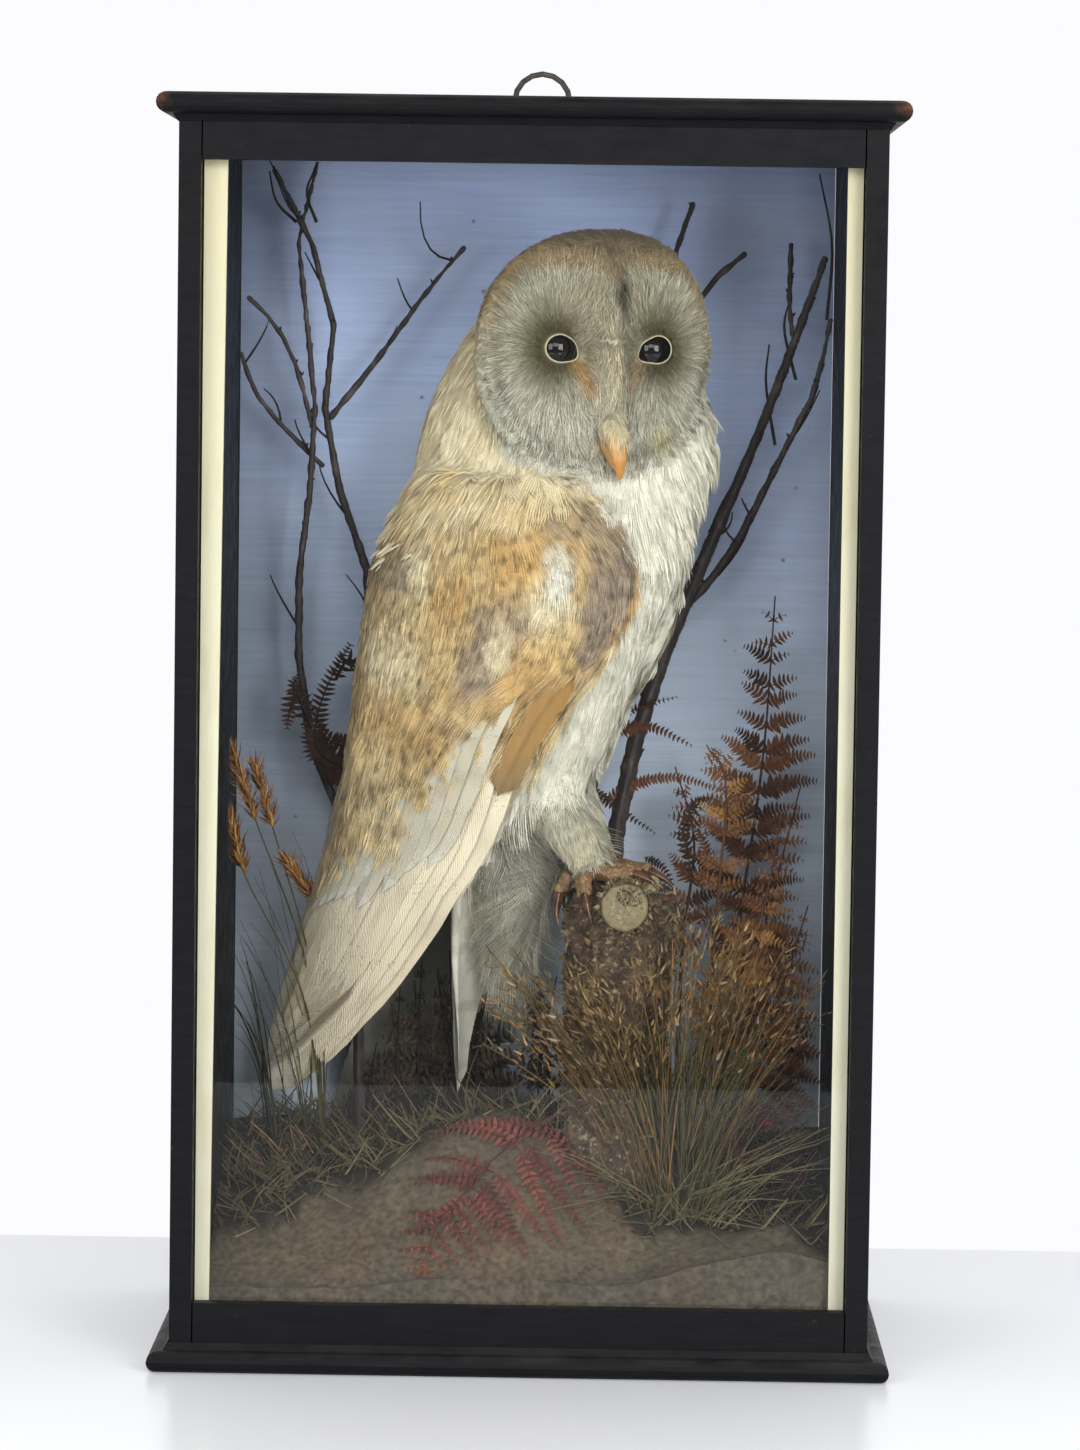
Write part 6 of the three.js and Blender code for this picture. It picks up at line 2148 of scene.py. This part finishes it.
def make_grass(ground):
    look = leaf_finish("dry_grass", 0.6)
    clump = Foliage(97)
    eared = fan(clump, ground, CLUMP_ROOT, EARED_TIPS, 84, (5, 5, 0), (5, 7, 9), 3, (0.5, 0.2),
                (GRASS_OLIVE, EAR_RUST, EAR_GOLD), within=(-18, 116))
    spikelets(clump, eared, 10, 10, 4.0, 0.52, (EAR_GOLD, EAR_RUST, EAR_PALE, GRASS_OLIVE, BARK_BROWN),
              start=0.55)
    fan(clump, ground, CLUMP_ROOT, INNER_TIPS, 150, (7, 6, 0), (7, 8, 10), 3, (0.55, 0.12),
        (GRASS_GREEN, GRASS_OLIVE))
    fan(clump, ground, CLUMP_ROOT, SPRAWL_TIPS, 90, (8, 6, 0), (9, 9, 8), 4, (0.4, 0.12),
        (GRASS_OLIVE, GRASS_PALE))
    clump.finish("grass_clump_leaves", look, "dry_grass", "grass_clump", ground=ground)
    left = Foliage(98)
    make_plumes(left, ground)
    fan(left, ground, LEFT_ROOT, LEFT_TIPS, 13, (4, 4, 0), (3, 4, 6), 9, (0.3, 0.1),
        (GRASS_GREEN, GRASS_OLIVE))
    fan(left, ground, LEFT_LOW_ROOT, LEFT_LOW_TIPS, 12, (4, 4, 0), (2, 4, 4), 2, (0.5, 0.12),
        (GRASS_GREEN, GRASS_DARK), lean=(2.0, 0, 9))
    left.finish("grass_left_leaves", look, "dry_grass", "grass_left", ground=ground)


PLUMES = [  # foot and tip of each dyed ear, and how thick it is
    ((-108, 101, 200), (-117, 99, 226), 5.2),
    ((-101, 101, 197), (-108, 99, 221), 3.4),
    ((-112, 100, 178), (-117.5, 98, 200), 3.6),
    ((-85, 108, 168), (-95, 103, 183), 3.2),
]
PLUME_HAIRS = 150


def make_plumes(foliage, ground):
    draw = foliage.draw
    root = np.array((*LEFT_ROOT, float(ground.at(*LEFT_ROOT))))
    paths = []
    for foot, tip, thick in PLUMES:
        foot, tip = np.array(foot, float), np.array(tip, float)
        s = draw.random(PLUME_HAIRS)[:, None]
        place = foot + (tip - foot) * s
        off = unit(draw.normal(0, 1, (PLUME_HAIRS, 3)))
        girth = thick * np.sin(math.pi * np.clip(0.12 + 0.85 * s, 0, 1)) * draw.uniform(0.1, 1, s.shape)
        way = off * 0.9 + unit(tip - foot)
        tints = foliage.varied(PLUME_HAIRS, PLUME_ORANGE, PLUME_AMBER, EAR_RUST, spread=0.35)
        foliage.leaves(place + off * girth * 0.35, way, off, draw.uniform(4, 9, PLUME_HAIRS), 0.5, tints,
                       fold=0.5)
        paths.append([root, root + (foot - root) * (0.25, 0.5, 0.55), foot, tip])
    for path in paths:
        places = spline(path, 14)[0]
        foliage.stems(places[None], np.linspace(0.42, 0.2, 14)[None], foliage.varied(1, GRASS_OLIVE), 4)


DARK_FRONDS = [  # darkened fronds that stand for the shade under the tail as well as dark plants there: foot and tip
    ((-62, 128, 0), (-60, 128, 108)), ((-54, 124, 0), (-54, 126, 124)), ((-47, 122, 0), (-45, 124, 134)),
    ((-40, 120, 0), (-42, 124, 142)), ((-34, 121, 0), (-31, 124, 146)), ((-27, 120, 0), (-27, 123, 150)),
    ((-20, 119, 0), (-21, 122, 142)), ((-13, 120, 0), (-12, 124, 148)), ((-6, 121, 0), (-4, 125, 140)),
    ((1, 120, 0), (3, 124, 146)), ((8, 121, 0), (12, 126, 136)), ((15, 122, 0), (21, 127, 140)),
    ((-50, 130, 0), (-51, 131, 130)), ((-24, 128, 0), (-36, 130, 138)), ((-8, 130, 0), (-18, 131, 144)),
    ((10, 130, 0), (2, 131, 142)), ((22, 126, 0), (30, 128, 128)), ((-36, 127, 0), (-24, 129, 132)),
]


FIBRES = 4800
SCRAPS = 3000
LITTER_FIELD = ((-117, 117), (14, 152))  # across and back, mm
BLOOM = (-89, 100)  # a pale rosy patch of moss: across, back


def strewn(draw, count, thinned):
    """Random places on the ground, kept where litter lies and thinned() leaves them."""
    x, y = draw.uniform(*LITTER_FIELD[0], count), draw.uniform(*LITTER_FIELD[1], count)
    kept = draw.random(count) < littered(x, y) * thinned(x)
    return x[kept], y[kept]


def lay_fibres(moss, ground):
    """Moss and root fibres that arch up from the ground."""
    draw = moss.draw
    x, y = strewn(draw, FIBRES, lambda x: 0.3 + 0.7 * ease(-x, -60, 20))
    count = len(x)
    at = np.stack([x, y, ground.at(x, y) - 0.4], 1)
    turn = draw.uniform(0, 2 * math.pi, count)
    long = draw.uniform(5, 17, count)[:, None]
    heading = np.stack([np.cos(turn), np.sin(turn), draw.uniform(0.2, 1.3, count)], 1) * long
    sideways = np.stack([-np.sin(turn), np.cos(turn), np.full(count, -0.4)], 1)
    bent = sideways * (long[:, 0] * draw.normal(0, 0.6, count))[:, None]
    s = np.linspace(0, 1, 6)[None, :, None]
    paths = ground.rest(at[:, None] + heading[:, None] * s + bent[:, None] * s**2, 0.3)
    tones = moss.varied(count, srgb(122, 114, 72), srgb(60, 60, 42), srgb(160, 142, 104), srgb(84, 62, 48))
    rosy = bell(np.hypot(x - BLOOM[0], y - BLOOM[1]), 13) > 0.35
    tones[rosy & (draw.random(count) < 0.5)] = srgb(206, 156, 126)
    moss.stems(paths, draw.uniform(0.25, 0.75, count)[:, None] * np.linspace(1, 0.35, 6)[None], tones)


def lay_scraps(moss, ground):
    """Scraps of dead leaves, lying nearly flat."""
    draw = moss.draw
    x, y = strewn(draw, SCRAPS, lambda x: 1.0)
    count = len(x)
    at = np.stack([x, y, ground.at(x, y) + 0.5], 1)
    turn = draw.uniform(0, 2 * math.pi, count)
    way = np.stack([np.cos(turn), np.sin(turn), draw.uniform(-0.1, 0.7, count)], 1)
    face = np.array((0, -0.2, 1.0)) + draw.normal(0, 0.5, (count, 3))
    tones = moss.varied(count, srgb(78, 66, 40), srgb(48, 40, 30), srgb(104, 84, 54), srgb(60, 66, 38))
    moss.leaves(at, way, face, draw.uniform(2, 5, count), draw.uniform(0.4, 1.2, count), tones, curl=0.4)


def make_litter(ground):
    """Moss, fibres and dead leaf scraps over the back of the ground."""
    moss = Foliage(99)
    lay_fibres(moss, ground)
    lay_scraps(moss, ground)
    moss.finish("ground_litter", leaf_finish("leaf_litter", 0.9), "groundwork", ground=ground)
    make_dark_fronds(ground, moss.draw)


def make_dark_fronds(ground, draw):
    """A tangle of dark fronds behind the tail, made near black as painted shade as well as dark bracken."""
    shade = Foliage(100)
    shade_dark_tones = (srgb(50, 42, 34), srgb(36, 32, 28), srgb(70, 54, 36))
    for foot, tip in DARK_FRONDS:
        foot, tip = np.array(foot, float), np.array(tip, float)
        foot[2] = ground.at(foot[0], foot[1])
        route = [foot, (foot + tip) / 2 + draw.normal(0, 4, 3), tip]
        side = (1, draw.normal(0, 0.5), draw.normal(0, 0.4))
        frond(shade, route, side, draw.uniform(12, 20), 10, 5.8, shade_dark_tones,
              start=0.05, rise=0.9, droop=0.4, ragged=0.5, gap=2.0)
    shade.finish("dark_fronds", leaf_finish("dark_bracken"), "bracken", ground=ground)


# ---- stump and branches ----
def stump_finish():
    f = Finish("stump_crust", Roughness=0.92)
    coarse = f.noise(150, 5, 0.7)
    brown = f.ramp(coarse, (0.3, srgb(34, 26, 20)), (0.5, srgb(70, 54, 40)), (0.7, srgb(112, 94, 70)))
    grey = f.ramp(f.noise(420, 4, 0.7), (0.56, 0.0), (0.66, 0.8))
    f.set(Base_Color=f.mix(grey, brown, srgb(150, 146, 120)))
    f.bump(f.noise(330, 5, 0.75), 0.0016, 0.9)
    f.bump(f.cells(420), 0.0008, 0.6)
    return f


STUB_HEART = (38.3, 173.5)  # the sawn end's middle: across and up, mm
STUB_FACE = 41  # how far back it is
STUB_CUT = 1.2  # and how deep the cut wood shows
STUB_RADIUS = 9.6


def cut_wood_finish():
    """The sawn end: cream with faint rings, crusted with grey-brown lichen, above all near its rim."""
    f = Finish("cut_wood", Roughness=0.75)
    far = f.distance(spot(STUB_HEART[0], STUB_FACE, STUB_HEART[1]))
    wobble = f.math("MULTIPLY", f.noise(160, 3), 0.002)
    rings = f.math("SINE", f.math("MULTIPLY", f.math("ADD", far, wobble), 5200))
    cream = f.mix(f.ramp(rings, (0.2, 0.0), (1.0, 0.3)), srgb(112, 100, 72), srgb(84, 70, 48))
    crust = f.ramp(f.noise(330, 5, 0.75), (0.43, 0.0), (0.53, 0.95))
    bark = f.ramp(f.noise(600, 4, 0.7), (0.35, srgb(62, 54, 42)), (0.7, srgb(150, 138, 104)))
    inner = f.ramp(far, (0.0, 0.75), (0.0055, 1.0), (0.0082, 0.25))
    face = f.mix(f.math("MULTIPLY", crust, inner), cream, bark)
    bark_from = FRONT + (STUB_FACE + STUB_CUT) * MM
    behind = f.ramp(f.share("Y", bark_from, bark_from + 1.4 * MM), (0.0, 0.0), (1.0, 1.0))
    f.set(Base_Color=f.mix(behind, face, bark))
    f.bump(f.noise(420, 5, 0.7), 0.0005, 0.8)
    return f


def bark_finish():
    f = Finish("bark", Roughness=0.7)
    fine = f.noise(260, 5, 0.65, stretch=(1, 1, 0.35))
    brown = f.ramp(fine, (0.3, srgb(26, 22, 21)), (0.55, srgb(50, 42, 39)), (0.72, srgb(86, 76, 70)))
    pale = f.ramp(f.noise(70, 4), (0.6, 0.0), (0.75, 0.45))
    f.set(Base_Color=f.mix(pale, brown, srgb(104, 96, 92)))
    f.bump(f.noise(420, 4, 0.7, stretch=(1, 1, 0.4)), 0.0005, 0.9)
    return f


def surface_roots(obj, count, draw):
    """Random places and normals on a piece's surface, in mm in the case."""
    mesh = obj.data
    mesh.calc_loop_triangles()
    corners = np.empty(len(mesh.loop_triangles) * 3, np.int32)
    mesh.loop_triangles.foreach_get("vertices", corners)
    corners = corners.reshape(-1, 3)
    points, normals = vertex_array(mesh), vertex_array(mesh, "normal")
    tri = points[corners]
    area = np.linalg.norm(np.cross(tri[:, 1] - tri[:, 0], tri[:, 2] - tri[:, 0]), axis=1)
    face = draw.choice(len(corners), count, p=area / area.sum())
    weight = draw.dirichlet((1, 1, 1), count)
    at = np.einsum("nk,nkc->nc", weight, points[corners[face]])
    out = unit(np.einsum("nk,nkc->nc", weight, normals[corners[face]]))
    return in_case(at), out


STUMP_FLAKES = 3300
RIM_FLAKES = 260
FACE_FLAKES = 120
STUMP_TONES = (srgb(96, 74, 52), srgb(60, 46, 34), srgb(140, 116, 82), srgb(176, 164, 128),
               srgb(112, 104, 74), srgb(120, 70, 44))
RIM_TONES = (srgb(150, 128, 92), srgb(90, 70, 50), srgb(188, 176, 138))
FACE_TONES = (srgb(110, 102, 74), srgb(70, 62, 48))


def flake_stump(flakes, stump):
    """Flakes of bark and lichen all over the stump."""
    draw = flakes.draw
    at, out = surface_roots(stump, STUMP_FLAKES, draw)
    way = out * draw.uniform(0.1, 1.0, (STUMP_FLAKES, 1)) + draw.normal(0, 0.7, out.shape)
    face = out + draw.normal(0, 0.6, out.shape)
    tones = flakes.varied(STUMP_FLAKES, *STUMP_TONES)
    flakes.leaves(at - out * 0.3, way, face, draw.uniform(1.2, 4.2, STUMP_FLAKES),
                  draw.uniform(0.35, 1.1, STUMP_FLAKES), tones, curl=0.5, fold=0.6)


def flake_stub(flakes):
    """Flakes round the sawn end's rim, and a few over its face."""
    draw = flakes.draw
    across, up = STUB_HEART
    turn = draw.uniform(0, 2 * math.pi, RIM_FLAKES)
    rim = np.stack([across + np.cos(turn) * STUB_RADIUS, draw.uniform(42.5, 58, RIM_FLAKES),
                    up + np.sin(turn) * STUB_RADIUS], 1)
    out = np.stack([np.cos(turn), np.zeros(RIM_FLAKES), np.sin(turn)], 1)
    flakes.leaves(rim, out + draw.normal(0, 0.6, rim.shape), out + draw.normal(0, 0.5, rim.shape),
                  draw.uniform(1.2, 3, RIM_FLAKES), 0.7, flakes.varied(RIM_FLAKES, *RIM_TONES), curl=0.5)
    spray = np.stack([draw.normal(40, 3.4, FACE_FLAKES), np.full(FACE_FLAKES, STUB_FACE - 0.1),
                      draw.normal(177, 3.2, FACE_FLAKES)], 1)
    spray = spray[np.hypot(spray[:, 0] - across, spray[:, 2] - up) < 8.2]
    flat = (0, -1.0, 0) + draw.normal(0, 0.4, spray.shape)
    flakes.leaves(spray, draw.normal(0, 1, spray.shape) * (1, 0.3, 1), flat, 1.5, 0.5,
                  flakes.varied(len(spray), *FACE_TONES), curl=0.2)


def make_perch():
    stump = smoothed_copy("stump_bark", "perch_stump", stump_finish(), 1.3 * MM, 3)
    moved(stump, lambda p: 1.1 * MM * lumps(p, 13 * MM, 111) + 0.7 * MM * lumps(p, 5 * MM, 112))
    piece(stump, "stump", "perch_stump")
    cut = cut_wood_finish()
    for name, node in (("stub_wood", "perch_stub"), ("knob_wood", "perch_knob")):
        obj = smoothed_copy(name, node, cut, 0.6 * MM, 3)
        moved(obj, lambda p: 0.25 * MM + 0.2 * MM * lumps(p, 5 * MM, 113))
        piece(obj, "cut_wood", node)
    flakes = Foliage(101)
    flake_stump(flakes, stump)
    flake_stub(flakes)
    flakes.finish("stump_flakes", leaf_finish("lichen", 0.95), "stump")


BOUGHS = ("left_main", "left_second", "left_twig_high", "left_twig_low", "left_twig_inner", "right_main",
          "right_second", "right_twig", "head_main", "head_twig")
SPUR_BROWN = srgb(40, 33, 30)
TWIG_BROWN = srgb(44, 36, 32)
SIDE_TWIGS_FROM = 270  # mm up
EXTRA_TWIGS = [
    [(-88, 134, 436), (-92, 134, 448), (-88, 134, 459)],
    [(-96, 134, 436), (-104, 134, 444), (-107, 134, 456)],
    [(116, 136, 400), (117.5, 136, 430), (112, 136, 458)],
    [(104, 134, 376), (99, 134, 396), (101, 134, 408)],
    [(96, 130, 350), (92, 131, 374), (93, 132, 390)],
]


def side_twigs(spurs, roots):
    """Fine twigs that bow upwards and to either side."""
    draw, count = spurs.draw, len(roots)
    side = np.where(draw.random(count) < 0.5, -1.0, 1.0)
    reach = draw.uniform(7, 24, count)[:, None]
    away = np.stack([side * 0.55, np.full(count, 0.05), np.ones(count)], 1) * reach
    s = np.linspace(0, 1, 6)[None, :, None]
    bow = draw.normal(0, 0.12, (count, 1, 3)) * reach[..., None]
    paths = roots[:, None] + away[:, None] * s + bow * s * (1 - s) * 4
    spurs.stems(paths, np.linspace(0.5, 0.25, 6)[None], spurs.varied(count, TWIG_BROWN), 4)


def make_branches():
    bark = bark_finish()
    spurs = Foliage(102)
    draw = spurs.draw
    for name in BOUGHS:
        node = "branch_" + name
        voxel, count, forked = (0.5, 5, 0.5) if "twig" in name else (0.85, 16, 0.35)
        obj = smoothed_copy(node + "_bark", node, bark, voxel * MM, 3)
        moved(obj, lambda p: 0.3 * MM + 0.22 * MM * lumps(p, 4 * MM, 121))
        piece(obj, "bark", node)
        at, out = surface_roots(obj, count, draw)
        lift = np.stack([out[:, 0], out[:, 1] * 0.4 - 0.1, np.abs(out[:, 2]) + 0.9], 1)
        spurs.leaves(at, lift, out, draw.uniform(1.2, 2.4, count), 0.8, spurs.varied(count, SPUR_BROWN),
                     fold=1.0)
        long = (at[:, 2] > SIDE_TWIGS_FROM) & (draw.random(count) < forked)
        if long.any():
            side_twigs(spurs, at[long])
    for route in EXTRA_TWIGS:
        places = spline(route, 10)[0]
        spurs.stems(places[None], np.linspace(0.75, 0.35, 10)[None], np.array([TWIG_BROWN]), 5)
    spurs.finish("branch_spurs", leaf_finish("spur_bark"), "bark")


def make_scene_plants():
    ground = Ground()
    make_ground(ground)
    make_perch()
    make_branches()
    make_bracken()
    make_ferns(ground)
    make_grass(ground)
    make_litter(ground)


make_camera()
make_stage()
finish_case()
make_owl()
make_scene_plants()
